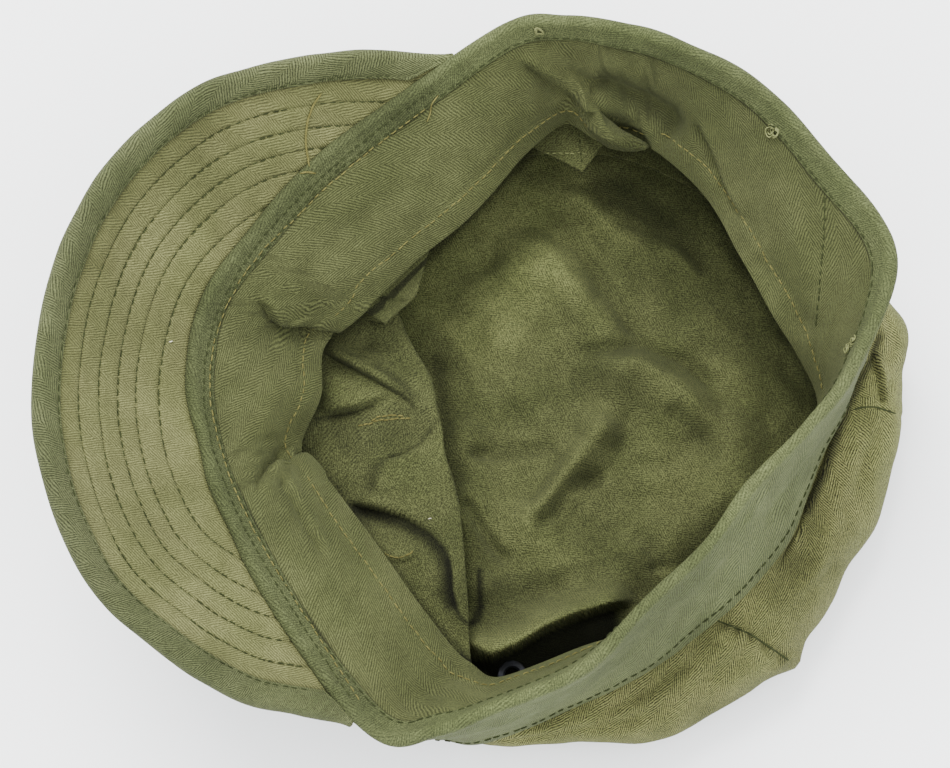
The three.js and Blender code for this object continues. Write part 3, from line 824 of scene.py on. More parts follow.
def side_grid(shares):
    edge = edge_ring(shares)
    along_band = unit(edge - rim_ring(shares))
    into = inward(edge_ring, shares)
    into = unit(into - along_band * (into * along_band).sum(axis=1, keepdims=True))
    behind = edge + into * ((BAND_CLOTH + CROWN_CLOTH) / 2 + SEAM_GAP)
    wide = wide_ring(shares) - inward(wide_ring, shares) * side_pleat(shares)
    foot = foot_ring(shares)
    low = lerp(foot, wide, LOW_SHARE)
    low[:, 2] = FOOT_HEIGHT + LOW_RISE * (wide[:, 2] - FOOT_HEIGHT)
    legs = sampled(*SIDE_STEPS)
    places = [behind - along_band * LAP_UP, behind + along_band * LAP_DOWN, ridge_ring(shares), wide, low,
              foot]
    grid = through(places, legs)
    normals = grid_normals(grid, True)
    angles = angle_at(shares)[:, None]
    in_front = between(angles, 135, 150, 250, 262)
    on_tuck = in_front * smooth(0.9, 1.15, legs)[None, :] * smooth(1.92, 1.4, legs)[None, :]
    behind_cap = 1 - between(angles, 22, 34, 250, 262)
    on_bulge = behind_cap * smooth(1.0, 1.3, legs)[None, :] * smooth(3.6, 3.0, legs)[None, :]
    deepest = -TUCK_SLACK * np.clip(1.95 - legs, 0, 1)[None, :]
    relief = np.maximum(crease_field(grid, TUCK_CREASES), deepest) * on_tuck
    relief -= crease_field(grid, SIDE_CREASES) * on_bulge
    ease = smooth(0.4, 1.4, legs)[None, :] * smooth(4.6, 3.4, legs)[None, :]
    ease = ease * (1 - np.exp(-((legs - 2) / 0.22) ** 2))[None, :]
    relief += ease * (rumple(grid, 21, 34, 0.9) + rumple(grid, 22, 13, 0.3))
    grid = grid + normals * relief[..., None]
    grid[..., 2] = np.maximum(grid[..., 2], 1.5 * CROWN_CLOTH + 0.1)
    return grid, relief * on_tuck - relief * on_bulge


def top_points(shares, rings):
    foot = foot_ring(shares)
    reach = np.hypot(foot[:, 0], foot[:, 1]) + TOP_LAP
    x = np.outer(rings, reach * foot[:, 0] / np.hypot(foot[:, 0], foot[:, 1]))
    y = np.outer(rings, reach * foot[:, 1] / np.hypot(foot[:, 0], foot[:, 1]))
    return x, y


def crown_top_piece(edge):
    shares = even_shares(TOP_STEPS)
    rings = np.linspace(0, 1, TOP_RINGS + 1)[1:]
    x, y = top_points(shares, rings)
    x = np.concatenate([[0], x.ravel()])
    y = np.concatenate([[0], y.ravel()])
    reach = np.concatenate([[0], np.repeat(rings, TOP_STEPS)])
    base = 2.6 * (1 - reach ** 6)
    flat = np.stack([x, y, base], axis=1)
    creases = FLOOR_SHARPNESS * crease_field(flat, FLOOR_CREASES)
    small = crumple(flat, 31, 44, 1.5) + crumple(flat, 33, 20, 1.1) + rumple(flat, 32, 9, 0.2)
    lift = top_lift(x, y) + base + creases + small
    ease = smooth(1.0, 0.93, reach)
    lift = np.log1p(np.exp(lift * ease / 0.6)) * 0.6
    lift = np.where(reach > 0.995, lift * 0.0, lift)
    upper = np.stack([x, y, lift + CROWN_CLOTH], axis=1)
    lower = np.stack([x, y, lift], axis=1)
    count = len(x)
    steps = np.arange(TOP_STEPS)
    after = (steps + 1) % TOP_STEPS
    faces = []
    for index in range(len(rings) - 1):
        a = 1 + index * TOP_STEPS
        b = a + TOP_STEPS
        faces.append(np.stack([a + steps, b + steps, b + after, a + after], axis=1))
    upper_faces = np.concatenate(faces)
    lower_faces = upper_faces[:, ::-1] + count
    b = 1 + (len(rings) - 1) * TOP_STEPS
    rim = np.stack([b + steps, b + steps + count, b + after + count, b + after], axis=1)
    middle = np.stack([np.zeros(TOP_STEPS, int), np.zeros(TOP_STEPS, int), 1 + steps, 1 + after], axis=1)
    quads = np.concatenate([upper_faces, lower_faces, rim])
    fans = np.concatenate([middle[:, 1:], middle[:, [1, 3, 2]] + count])
    points = np.concatenate([upper, lower])
    triangles = np.concatenate([quads[:, [0, 1, 2]], quads[:, [0, 2, 3]], fans])
    uv = points[triangles.ravel()][:, :2]
    # Painted shade and painted highlight of the floor's creases and crumples, and painted shade of the deep
    # folds
    tone = (1 + FLOOR_CREASE_SHADING * (creases + small)) * shaded(upper, edge) - 1
    reverse = np.repeat([1.0, 0.0], count)
    return mesh("crown_top_cloth", points, triangles, uv, np.concatenate([tone, tone]), reverse)


def peak_frames(steps):
    shares = np.linspace(0, 1, steps + 1)
    rows = shares * (len(PEAK_EDGE) - 1)
    joints = np.interp(rows, np.arange(len(PEAK_EDGE)), [row["joint"] for row in PEAK_EDGE])
    rim_shares = share_at(joints)
    joint = rim_ring(rim_shares) - inward(rim_ring, rim_shares) * (ROLL_HALF_WIDTH + JOINT_OUT)
    joint[:, 2] -= JOINT_DROP
    corners = [place(row["at"], *row["out"])[None, :] for row in PEAK_EDGE]
    outer = through(corners, rows)[0]
    depth = np.linalg.norm(outer - joint, axis=1, keepdims=True)
    out = (outer - joint) / depth
    along = unit(np.gradient(outer, axis=0)) + tangent(rim_ring, rim_shares)
    normal = unit(np.cross(along, out))
    normal *= np.where(normal[:, 2:] < 0, -1, 1)
    return joint, out, depth, normal


def on_peak(frames, distance, height):
    joint, out, depth, normal = frames
    share = np.clip(distance / depth, 0, 1)
    camber = -PEAK_CAMBER * depth * np.sin(math.pi * share)
    fullness = lerp(0.42, 1.0, smooth(1.5, 10, depth))
    return joint + out * distance + normal * (camber + height * fullness)


COVER_OFFSET = PEAK_PANEL / 2 + PANEL_GAP + PEAK_CLOTH / 2


def peak_relief(from_edge):
    """Rows of stitching pull the panel in, and it swells between them"""
    relief = np.zeros(np.shape(from_edge))
    for row in PEAK_ROWS:
        relief -= 0.55 * np.exp(-((from_edge - row) / 0.7) ** 2)
    return relief


def peak_panel_grid(frames):
    depth = frames[2]
    tip = depth - np.minimum(2.4, 0.45 * depth)
    rows = []
    for share in np.linspace(0, 1, 88):
        distance = tip * share
        rows.append(on_peak(frames, distance, peak_relief(depth - distance)))
    grid = np.stack(rows, axis=1)
    normals = grid_normals(grid, False)
    return grid + normals * rumple(grid, 41, 22, 0.18)[..., None]


def peak_cover_grid(frames):
    depth = frames[2]
    border = np.minimum(BORDER_WIDTH, 0.7 * depth)
    inner = depth - border
    edge = depth - np.minimum(PEAK_CLOTH / 2, 0.2 * depth)
    bend = np.minimum(COVER_OFFSET * 0.9, 0.35 * depth)
    rows = [on_peak(frames, (edge - bend) * share, -COVER_OFFSET) for share in np.linspace(0, 1, 34)]
    for turn in np.radians(np.arange(-75, 90, 15)):
        rows.append(on_peak(frames, edge - bend + bend * math.cos(turn), COVER_OFFSET * math.sin(turn)))
    start = edge - bend
    for share in np.concatenate([np.linspace(0, 0.9, 12), [0.93, 0.96, 0.98, 0.99, 1.0]]):
        distance = lerp(start, inner, share)
        from_edge = depth - distance
        sewn = 0.3 * np.exp(-((from_edge - border + 1.1) / 0.6) ** 2)
        sag = 0.35 * np.sin(math.pi * share)
        rows.append(on_peak(frames, distance, COVER_OFFSET - sewn + sag * 0.6))
    grid = np.stack(rows, axis=1)
    normals = grid_normals(grid, False)
    return grid + normals * rumple(grid, 43, 18, 0.12)[..., None]


# Thread

def spokes(across, up, sides):
    turns = 2 * math.pi * np.arange(sides) / sides
    return [across * math.cos(turn) + up * math.sin(turn) for turn in turns]


def tube_faces(rings, sides):
    """Triangles of a tube of rings that follow each other, closed at both ends"""
    faces = []
    for start in range(0, (rings - 1) * sides, sides):
        for k in range(sides):
            a, b = start + k, start + (k + 1) % sides
            faces += [(a, b, b + sides), (a, b + sides, a + sides)]
    tail = (rings - 1) * sides
    for k in range(1, sides - 1):
        faces += [(0, k + 1, k), (tail, tail + k, tail + k + 1)]
    return np.array(faces)


def stitches(name, starts, ends, normals, radius):
    """Short threads, each sunk into the cloth at its ends"""
    along = unit(ends - starts)
    across = unit(np.cross(normals, along))
    up = np.cross(along, across)
    rings = []
    for row in STITCH_RINGS:
        middle = lerp(starts, ends, row["at"]) + up * (row["rise"] * STITCH_PROUD)
        rings += [middle + radius * row["wide"] * spoke for spoke in spokes(across, up, STITCH_SIDES)]
    points = np.stack(rings, axis=1).reshape(-1, 3)
    faces = tube_faces(len(STITCH_RINGS), STITCH_SIDES)
    first = np.arange(len(starts)) * len(rings)
    return mesh(name, points, (faces[None] + first[:, None, None]).reshape(-1, 3))


def along_path(path, normals, spacing, length, seed):
    """Starts, ends and normals of stitches spaced along a path"""
    path, normals = np.asarray(path), np.asarray(normals)
    steps = np.linalg.norm(np.diff(path, axis=0), axis=1)
    run = np.concatenate([[0], np.cumsum(steps)])
    draw = np.random.default_rng(seed)
    begins = np.arange(0.2, run[-1] - length, spacing)
    begins = begins + draw.uniform(-0.12, 0.12, len(begins)) * spacing
    long = length * draw.uniform(0.88, 1.08, len(begins))

    def at(distance, values):
        return np.stack([np.interp(distance, run, values[:, k]) for k in range(3)], axis=1)

    aside = np.cross(at(begins, normals), unit(at(begins + long, path) - at(begins, path)))
    sway = draw.uniform(-0.14, 0.14, (len(begins), 1))
    return at(begins, path) + aside * sway, at(begins + long, path) + aside * sway, unit(at(begins, normals))


def cap_points(piece):
    """A piece's points in the cap's frame and millimetres"""
    co = np.empty(len(piece.data.vertices) * 3, dtype=np.float32)
    piece.data.vertices.foreach_get("co", co)
    return co.reshape(-1, 3) / MM - OPENING


def tree_of(*pieces):
    """The pieces' surface for sight lines"""
    points, faces = [], []
    for piece in pieces:
        base = len(points)
        points.extend(cap_points(piece).tolist())
        faces.extend([[base + index for index in face.vertices] for face in piece.data.polygons])
    return BVHTree.FromPolygons(points, faces)


def seen_on(tree, line, step=1.2):
    """Points and normals where the camera sees a line of pixels on a surface"""
    line = np.array(line, float)
    lengths = np.linalg.norm(np.diff(line, axis=0), axis=1)
    run = np.concatenate([[0], np.cumsum(lengths)])
    places, normals = [], []
    for distance in np.arange(0, run[-1] + 0.01, step):
        u = np.interp(distance, run, line[:, 0])
        v = np.interp(distance, run, line[:, 1])
        ray = sight_line(u, v)
        hit, normal, _, _ = tree.ray_cast(Vector(VIEWPOINT), Vector(ray))
        if hit is not None:
            normal = np.array(normal)
            places.append(np.array(hit))
            normals.append(normal if normal @ ray < 0 else -normal)
    return np.array(places), np.array(normals)


def thread(name, path, radius, sides=7):
    """A loose thread along a path"""
    path = np.asarray(path, float)
    along = unit(np.gradient(path, axis=0))
    across = unit(np.cross(along, np.array([0.31, 0.22, 0.93])))
    up = np.cross(along, across)
    taper = np.minimum(1, np.minimum(np.arange(len(path)), np.arange(len(path))[::-1]) * 0.35 + 0.35)
    rings = [path + radius * taper[:, None] * spoke for spoke in spokes(across, up, sides)]
    return mesh(name, np.stack(rings, axis=1).reshape(-1, 3), tube_faces(len(path), sides))


def smoothed(points, rounds=2):
    for _ in range(rounds):
        points = np.concatenate([points[:1], (points[:-2] + 2 * points[1:-1] + points[2:]) / 4, points[-1:]])
    return points


def join(name, pieces):
    """Small pieces as one mesh"""
    points, faces, base = [], [], 0
    for piece in pieces:
        points.append(cap_points(piece))
        faces.append(np.array([list(face.vertices) for face in piece.data.polygons]) + base)
        base += len(points[-1])
        bpy.data.objects.remove(piece)
    return mesh(name, np.concatenate(points), np.concatenate(faces))


# Materials

class Graph:
    """A material's nodes, made by short calls"""

    def __init__(self, name):
        self.material = bpy.data.materials.new(name)
        self.material.use_nodes = True
        self.tree = self.material.node_tree
        self.tree.nodes.clear()
        self.shader = self.node("ShaderNodeBsdfPrincipled")
        output = self.node("ShaderNodeOutputMaterial")
        self.link(self.shader.outputs[0], output.inputs["Surface"])

    def node(self, kind, **settings):
        made = self.tree.nodes.new(kind)
        for key, value in settings.items():
            setattr(made, key, value)
        return made

    def link(self, source, target):
        if isinstance(source, (int, float, tuple)):
            target.default_value = source
        else:
            self.tree.links.new(source, target)

    def math(self, operation, *values):
        made = self.node("ShaderNodeMath", operation=operation)
        for value, socket in zip(values, made.inputs):
            self.link(value, socket)
        return made.outputs[0]

    def noise(self, vector, scale, detail=3.0, roughness=0.55):
        made = self.node("ShaderNodeTexNoise")
        for name, value in (("Vector", vector), ("Scale", scale), ("Detail", detail),
                            ("Roughness", roughness)):
            self.link(value, made.inputs[name])
        return made.outputs[0]

    def here(self):
        return self.node("ShaderNodeTexCoord").outputs["Object"]

    def attribute(self, name):
        return self.node("ShaderNodeAttribute", attribute_name=name).outputs["Fac"]

    def weave_uv(self):
        """The cloth's own coordinates, together and one by one"""
        uv = self.node("ShaderNodeUVMap", uv_map="Weave").outputs[0]
        split = self.node("ShaderNodeSeparateXYZ")
        self.link(uv, split.inputs[0])
        return uv, split.outputs[0], split.outputs[1]

    def scaled(self, vector, scale):
        made = self.node("ShaderNodeVectorMath", operation="SCALE")
        self.link(vector, made.inputs[0])
        self.link(scale, made.inputs["Scale"])
        return made.outputs[0]

    def bump(self, height, distance, strength=1.0):
        made = self.node("ShaderNodeBump")
        self.link(strength, made.inputs["Strength"])
        self.link(distance, made.inputs["Distance"])
        self.link(height, made.inputs["Height"])
        self.link(made.outputs[0], self.shader.inputs["Normal"])

    def surface(self, **sockets):
        """Sets or links the shader's sockets, named with underscores for spaces"""
        for name, value in sockets.items():
            self.link(value, self.shader.inputs[name.replace("_", " ")])

    def ramp(self, value, low, high, to_low, to_high):
        made = self.node("ShaderNodeMapRange")
        made.interpolation_type = "SMOOTHSTEP"
        for item, socket in zip((value, low, high, to_low, to_high), made.inputs):
            self.link(item, socket)
        return made.outputs[0]

    def mix(self, share, first, second):
        made = self.node("ShaderNodeMix", data_type="RGBA")
        self.link(share, made.inputs[0])
        self.link(first, made.inputs[6])
        self.link(second, made.inputs[7])
        return made.outputs[2]


def colour(red, green, blue):
    """An 8-bit screen colour as linear light"""
    linear = []
    for value in (red, green, blue):
        share = value / 255
        linear.append(share / 12.92 if share <= 0.04045 else ((share + 0.055) / 1.055) ** 2.4)
    return (*linear, 1.0)


COLUMN = 3.8 * MM
RIB = 0.66 * MM
RIB_STEEP = math.radians(62)
RIB_UNEVEN = 1.1
RIB_HEIGHT = 0.24 * MM
RIB_MEAN = 0.55
WEAVE_DRIFT = 1.0 * MM
# How speckled the face is, how much more the reverse is, and the reverse's contrast
SPECKLE = 0.36
PLAIN_REVERSE = 0.3
REVERSE_CONTRAST = 0.66
FADE = 0.14
WORN_TINT = (1.12, 1.09, 1.16)
SHEEN_TINT = (0.55, 0.6, 0.35, 1.0)

# Sizes of the cloth's unevenness: noise a metre
THREAD_NOISE = 2300.0
RIB_NOISE = 420.0
WEAR_NOISE = 140.0
DRIFT_NOISE = 60.0
TINT_NOISE = 46.0
FADE_NOISE = 24.0

# Each cloth by its slot: its colour on the screen, its columns' direction in degrees and how plain
# its ribs show. back is the reverse's colour, and hem_shadow_at how far from the piece's first edge a
# painted shadow runs along it, under the hem's edge.
CLOTHS = {
    "band_cloth": dict(name="band_herringbone", face=(60, 66, 39), turn=-42, contrast=0.74),
    "sweatband_cloth": dict(name="sweatband_herringbone", face=(58, 62, 35), turn=-38, contrast=0.62,
                            hem_shadow_at=4.5),
    "crown_cloth": dict(name="crown_herringbone", face=(79, 81, 47), turn=-36, contrast=1.0,
                        back=(57, 61, 34)),
    "peak_panel_cloth": dict(name="peak_herringbone", face=(79, 81, 49), turn=-12, contrast=0.57),
    "peak_cover_cloth": dict(name="border_herringbone", face=(63, 68, 42), turn=45, contrast=0.74),
}


def herringbone(graph, turn):
    """Ribs of a herringbone twill: 1 on a rib, 0 between two. turn is the columns' direction."""
    uv, x, y = graph.weave_uv()
    c, s = math.cos(turn), math.sin(turn)
    along = graph.math("ADD", graph.math("MULTIPLY", x, c), graph.math("MULTIPLY", y, s))
    across = graph.math("SUBTRACT", graph.math("MULTIPLY", y, c), graph.math("MULTIPLY", x, s))
    drift = graph.math("SUBTRACT", graph.noise(uv, DRIFT_NOISE, 2.0), 0.5)
    across = graph.math("ADD", across, graph.math("MULTIPLY", drift, WEAVE_DRIFT))
    column = graph.math("FLOOR", graph.math("DIVIDE", across, COLUMN))
    zigzag = graph.math("MULTIPLY", graph.math("PINGPONG", across, COLUMN), math.tan(RIB_STEEP))
    phase = graph.math("DIVIDE", graph.math("ADD", along, zigzag), RIB / math.cos(RIB_STEEP))
    phase = graph.math("ADD", phase, graph.math("MULTIPLY", column, 0.5))
    uneven = graph.math("SUBTRACT", graph.noise(uv, RIB_NOISE, 2.0), 0.5)
    phase = graph.math("ADD", phase, graph.math("MULTIPLY", uneven, RIB_UNEVEN))
    wave = graph.math("SINE", graph.math("MULTIPLY", phase, 2 * math.pi))
    return graph.math("MULTIPLY_ADD", wave, 0.5, 0.5)


def weave_and_light(graph, here, reverse, turn, contrast):
    """The weave's height, the light that it, the wear and the tone attribute's painted shade leave, and the
    wear alone
    """
    speck = graph.ramp(graph.noise(here, THREAD_NOISE, 1.0, 0.6), 0.32, 0.68, 0.0, 1.0)
    plain = graph.math("MULTIPLY_ADD", reverse, PLAIN_REVERSE, SPECKLE)
    ribs = graph.math("MULTIPLY", herringbone(graph, turn), graph.math("SUBTRACT", 1.0, plain))
    weave = graph.math("ADD", ribs, graph.math("MULTIPLY", speck, plain))
    broad = graph.ramp(graph.noise(here, FADE_NOISE, 3.0), 0.32, 0.68, 1 - FADE, 1 + FADE)
    fine = graph.ramp(graph.noise(here, WEAR_NOISE, 4.0), 0.3, 0.7, 1 - FADE * 0.6, 1 + FADE * 0.6)
    light = graph.math("MULTIPLY", broad, fine)
    # The tone attribute holds painted shade and painted highlight as well as lighter and darker edges
    light = graph.math("MULTIPLY", light, graph.math("ADD", 1.0, graph.attribute("tone")))
    depth = graph.math("MULTIPLY_ADD", reverse, contrast * (REVERSE_CONTRAST - 1), contrast)
    ribbed = graph.math("SUBTRACT", weave, RIB_MEAN)
    ribbed = graph.math("MULTIPLY", ribbed, graph.math("MULTIPLY", depth, 2.0))
    return weave, graph.math("MULTIPLY", light, graph.math("ADD", 1.0, ribbed)), fine


def cloth(name, face, turn, contrast, back=None, hem_shadow_at=None):
    """Herringbone cotton: the colour of its face and of its reverse, which is plain and speckled"""
    graph = Graph(name)
    here = graph.here()
    reverse = graph.attribute("reverse")
    weave, light, fine = weave_and_light(graph, here, reverse, math.radians(turn), contrast)
    if hem_shadow_at is not None:
        # Painted shadow: a dark line along the sweatband under the hem's edge
        away = graph.math("ABSOLUTE", graph.math("SUBTRACT", graph.weave_uv()[2], hem_shadow_at * MM))
        light = graph.math("MULTIPLY", light, graph.ramp(away, 0.7 * MM, 1.7 * MM, 0.32, 1.0))
    base = graph.mix(reverse, colour(*face), colour(*(back or face)))
    worn = graph.node("ShaderNodeVectorMath", operation="MULTIPLY")
    graph.link(base, worn.inputs[0])
    graph.link(WORN_TINT, worn.inputs[1])
    patches = graph.ramp(graph.noise(here, TINT_NOISE, 2.0), 0.35, 0.65, 0.0, 1.0)
    tint = graph.mix(patches, base, worn.outputs[0])
    graph.bump(weave, RIB_HEIGHT, 0.9)
    graph.surface(Base_Color=graph.scaled(tint, light), Sheen_Weight=0.05, Sheen_Roughness=0.5,
                  Roughness=graph.ramp(fine, 0.8, 1.2, 0.96, 0.84), Sheen_Tint=SHEEN_TINT,
                  Specular_IOR_Level=0.12)
    return graph.material


def thread_material(name, screen, dark=0.25):
    """Twisted sewing thread"""
    graph = Graph(name)
    here = graph.here()
    shade = graph.ramp(graph.noise(here, 420.0, 3.0), 0.3, 0.7, 1 - dark, 1 + dark)
    graph.bump(graph.noise(here, 2600.0, 2.0), 0.08 * MM)
    graph.surface(Base_Color=graph.scaled(colour(*screen)[:3], shade), Roughness=0.9,
                  Specular_IOR_Level=0.08)
    return graph.material


def metal_material():
    graph = Graph("dull_metal")
    spots = graph.noise(graph.here(), 300.0, 4.0)
    dull = graph.ramp(spots, 0.4, 0.65, 0.0, 1.0)
    graph.surface(Base_Color=graph.mix(dull, colour(40, 42, 48), colour(30, 31, 33)), Metallic=0.6,
                  Roughness=graph.ramp(spots, 0.3, 0.7, 0.35, 0.6))
    return graph.material


def floor_material():
    graph = Graph("pale_table")
    shade = graph.ramp(graph.noise(graph.here(), 3.0, 3.0), 0.3, 0.7, 0.0, 1.0)
    graph.surface(Base_Color=graph.mix(shade, (0.90, 0.91, 0.915, 1.0), (0.925, 0.933, 0.937, 1.0)),
                  Roughness=0.75, Specular_IOR_Level=0.2)
    return graph.material


def finish_with(piece, material):
    piece.data.materials.clear()
    piece.data.materials.append(material)


# Camera, table and light

def add_camera():
    data = bpy.data.cameras.new("photo_camera")
    data.sensor_width = SENSOR
    data.lens = LENS
    data.clip_start = 0.01
    data.clip_end = 20
    camera = bpy.data.objects.new("photo_camera", data)
    camera.location = (VIEWPOINT + OPENING) * MM
    camera.rotation_euler = (math.pi / 2 - VIEW_ELEVATION, 0, 0)
    bpy.context.scene.collection.objects.link(camera)
    bpy.context.scene.camera = camera


def add_table():
    data = bpy.data.meshes.new("table")
    half = 2.5
    data.from_pydata([(-half, -half, 0), (half, -half, 0), (half, half, 0), (-half, half, 0)], [],
                     [(0, 1, 2, 3)])
    table = bpy.data.objects.new("table", data)
    bpy.context.scene.collection.objects.link(table)
    data.materials.append(floor_material())


def add_area(name, location, target, size, power, tint=(1.0, 1.0, 1.0)):
    data = bpy.data.lights.new(name, "AREA")
    data.shape = "DISK"
    data.size = size
    data.energy = power
    data.color = tint
    lamp = bpy.data.objects.new(name, data)
    lamp.location = location
    aim = Vector(target) - Vector(location)
    lamp.rotation_euler = aim.to_track_quat("-Z", "Y").to_euler()
    bpy.context.scene.collection.objects.link(lamp)


def add_light():
    world = bpy.data.worlds.new("studio")
    world.use_nodes = True
    back = world.node_tree.nodes["Background"]
    back.inputs[0].default_value = (0.97, 0.985, 1.0, 1.0)
    back.inputs[1].default_value = 3.25
    bpy.context.scene.world = world
    add_area("window", (-0.35, 0.75, 1.45), (0, 0, 0.03), 0.9, 46.0, (1.0, 0.985, 0.96))
    add_area("overhead", (0.3, -0.3, 1.5), (0, 0, 0.0), 1.1, 9.0)


add_camera()
add_table()
add_light()

# Tones of the cloth as shares of its light: wear on the roll, lighter and darker edges, a darker roll in
# front, and painted shade and painted highlight where the cloth is creased, sewn down or lies under the
# border
DARKEST = -0.45
LIGHTEST = 0.2
HEM_EDGE_TONE = 0.16
ROLL_TONE = 0.10
JOINT_TONE = -0.26
BAND_EDGE_TONE = -0.12
SWEATBAND_EDGE_TONE = 0.14
# Painted shade in the creases' valleys and painted highlight on their ridges, a share of light a millimetre
SWEATBAND_CREASE_SHADING = 0.075
SIDE_CREASE_SHADING = 0.095
FLOOR_CREASE_SHADING = 0.07
FLAP_CREASE_SHADING = 0.12
FLAP_DARKEST = -0.4
# Painted shade in the grooves along the peak's rows of stitching and under the border's inner edge
SEWN_ROW_SHADE = -0.26
UNDER_BORDER_SHADE = -0.5

# The column of each wall whose length round the cap sizes its weave
BAND_WEAVE_COLUMN = 26
SWEATBAND_WEAVE_COLUMN = 36
SIDE_WEAVE_COLUMN = 60
COVER_WEAVE_COLUMN = 40
BAND_EDGE_COLUMNS = 7
SWEATBAND_EDGE_COLUMNS = 3

# The roll's cloth is worn smooth, and the band's weave outside is drawn finer than the roll's
ROLL_WORN = 0.75
BAND_STRETCH = 0.42

# The crown's side is pressed thinner where the tuck folds back: by a share, over some columns
RIDGE_THINNER = 0.6
RIDGE_REACH = 9.0

# The cap's cloth
shares = even_shares(STEPS_ROUND)

band_surface = band_grid(shares)
band_tone = np.zeros(band_surface.shape[:2])
band_tone[:, len(HEM_STEPS):ROLL_COLUMNS - 1] = ROLL_TONE
band_tone[:, :HEM_STITCH_COLUMN] = HEM_EDGE_TONE
band_tone[:, -BAND_EDGE_COLUMNS:] = BAND_EDGE_TONE
band_tone[:, :ROLL_COLUMNS] += JOINT_TONE * between(angle_at(shares), 104, 122, 236, 244)[:, None]
on_roll = np.arange(band_surface.shape[1]) < ROLL_COLUMNS
band_half = edge_rounding(band_surface, BAND_CLOTH / 2, True, True)
outer_band = wall("outer_band_cloth", band_surface, band_half, True, band_tone, BAND_WEAVE_COLUMN,
                  stretch=np.where(on_roll[:-1], 1.0, BAND_STRETCH), worn=np.where(on_roll, ROLL_WORN, 0.0))

sweat_surface = sweatband_grid(shares)
sweat_tone = np.zeros(sweat_surface.shape[:2])
sweat_tone[:, -SWEATBAND_EDGE_COLUMNS:] = SWEATBAND_EDGE_TONE
# Painted shade in the sweatband's creases and hollows, and painted highlight on its swells
sweat_tone += crease_shading(crease_field(sweat_surface, SWEATBAND_CREASES), SWEATBAND_CREASE_SHADING)
sweat_half = edge_rounding(sweat_surface, SWEATBAND_CLOTH / 2, True, True)
sweatband = wall("sweatband_cloth", sweat_surface, sweat_half, True, sweat_tone, SWEATBAND_WEAVE_COLUMN)

side_shares = even_shares(STEPS_ROUND, 1.8)
side_surface, side_relief = side_grid(side_shares)
# Painted shade and painted highlight of the tuck's and the side's creases
side_tone = crease_shading(side_relief, SIDE_CREASE_SHADING)
# Painted light on the crown's side behind: lighter on the right, round +x, and painted shade further round
# towards -y
from_back = turned_by(angle_at(side_shares), 0)[:, None]
side_tone += (0.3 * smooth(-35, -8, from_back) - 0.13) * between(from_back, -100, -80, 45, 60)
free_edge = sweat_surface[::4, -1]
# Painted shade of the deep folds and of the sweatband's loose edge above the side
side_tone = (1 + side_tone) * shaded(side_surface, free_edge) - 1
side_half = edge_rounding(side_surface, CROWN_CLOTH / 2, True, False)
from_ridge = (np.arange(len(side_half)) - RIDGE_COLUMN) / RIDGE_REACH
side_half *= 1 - RIDGE_THINNER * np.exp(-from_ridge ** 2)
crown_side = wall("crown_side_cloth", side_surface, side_half, True, side_tone, SIDE_WEAVE_COLUMN,
                  front_is_reverse=True)

crown_top = crown_top_piece(free_edge)

frames = peak_frames(PEAK_STEPS)
down_peak = np.linspace(0, 1, PEAK_STEPS + 1)[:, None]
panel_surface = peak_panel_grid(frames)
from_edge = frames[2] - np.linalg.norm(panel_surface - frames[0][:, None, :], axis=2)
# Painted shade in the grooves of the stitched rows and under the border's inner edge
panel_tone = SEWN_ROW_SHADE * sum(np.exp(-((from_edge - row) / 0.55) ** 2) for row in PEAK_ROWS)
panel_tone += UNDER_BORDER_SHADE * np.exp(-((from_edge - BORDER_WIDTH - 0.3) / 0.8) ** 2)
# Painted light along the peak: lighter towards its first row of PEAK_EDGE, a little darker towards its last
panel_tone += 0.2 * smooth(0.4, 0.1, down_peak) - 0.05 * smooth(0.6, 0.9, down_peak)
panel_half = edge_rounding(panel_surface, PEAK_PANEL / 2, True, True)
peak_panel = wall("peak_panel_cloth", panel_surface, panel_half, False, panel_tone)

cover_surface = peak_cover_grid(frames)
# Painted light along the border: lighter towards both ends of the peak, a little darker across its middle
cover_tone = 0.22 * smooth(0.35, 0.1, down_peak) + 0.14 * smooth(0.7, 0.9, down_peak) - 0.08
cover_tone = np.repeat(cover_tone, cover_surface.shape[1], axis=1)
cover_half = edge_rounding(cover_surface, PEAK_CLOTH / 2, True, True)
peak_cover = wall("peak_cover_cloth", cover_surface, cover_half, False, cover_tone, COVER_WEAVE_COLUMN)

for piece, node in ((outer_band, "outer_band"), (sweatband, "sweatband"), (crown_side, "crown_side"),
                    (crown_top, "crown_top"), (peak_panel, "peak_panel"), (peak_cover, "peak_cover")):
    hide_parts(node)

cloths = {slot: cloth(**row) for slot, row in CLOTHS.items()}
for piece, slot in ((outer_band, "band_cloth"), (sweatband, "sweatband_cloth"),
                    (crown_side, "crown_cloth"), (crown_top, "crown_cloth"),
                    (peak_panel, "peak_panel_cloth"), (peak_cover, "peak_cover_cloth")):
    finish_with(piece, cloths[slot])

# The eyelet
eyelet = bpy.data.objects["vent_eyelet"]
eyelet.data.materials.clear()
eyelet.data.materials.append(metal_material())

# Stitching
green_thread = thread_material("dark_green_thread", (40, 45, 25))
tan_thread = thread_material("tan_thread", (86, 83, 46))
grey_thread = thread_material("grey_thread", (98, 102, 66))


def peak_line(from_edge, height, least):
    """A path along the peak, from_edge inside its edge, where the peak is that much deeper"""
    depth, normal = frames[2:]
    keep = depth[:, 0] > from_edge + least
    return on_peak(frames, depth - from_edge, height)[keep], normal[keep]


peak_rows = []
for index, row in enumerate(PEAK_ROWS):
    path, normals = peak_line(row, PEAK_PANEL / 2 - 0.5, 1.0)
    peak_rows.append(along_path(path, normals, STITCH_SPACING, STITCH, 100 + index))
piece = stitches("peak_row_stitches", *(np.concatenate(x) for x in zip(*peak_rows)), radius=0.2)
finish_with(piece, green_thread)

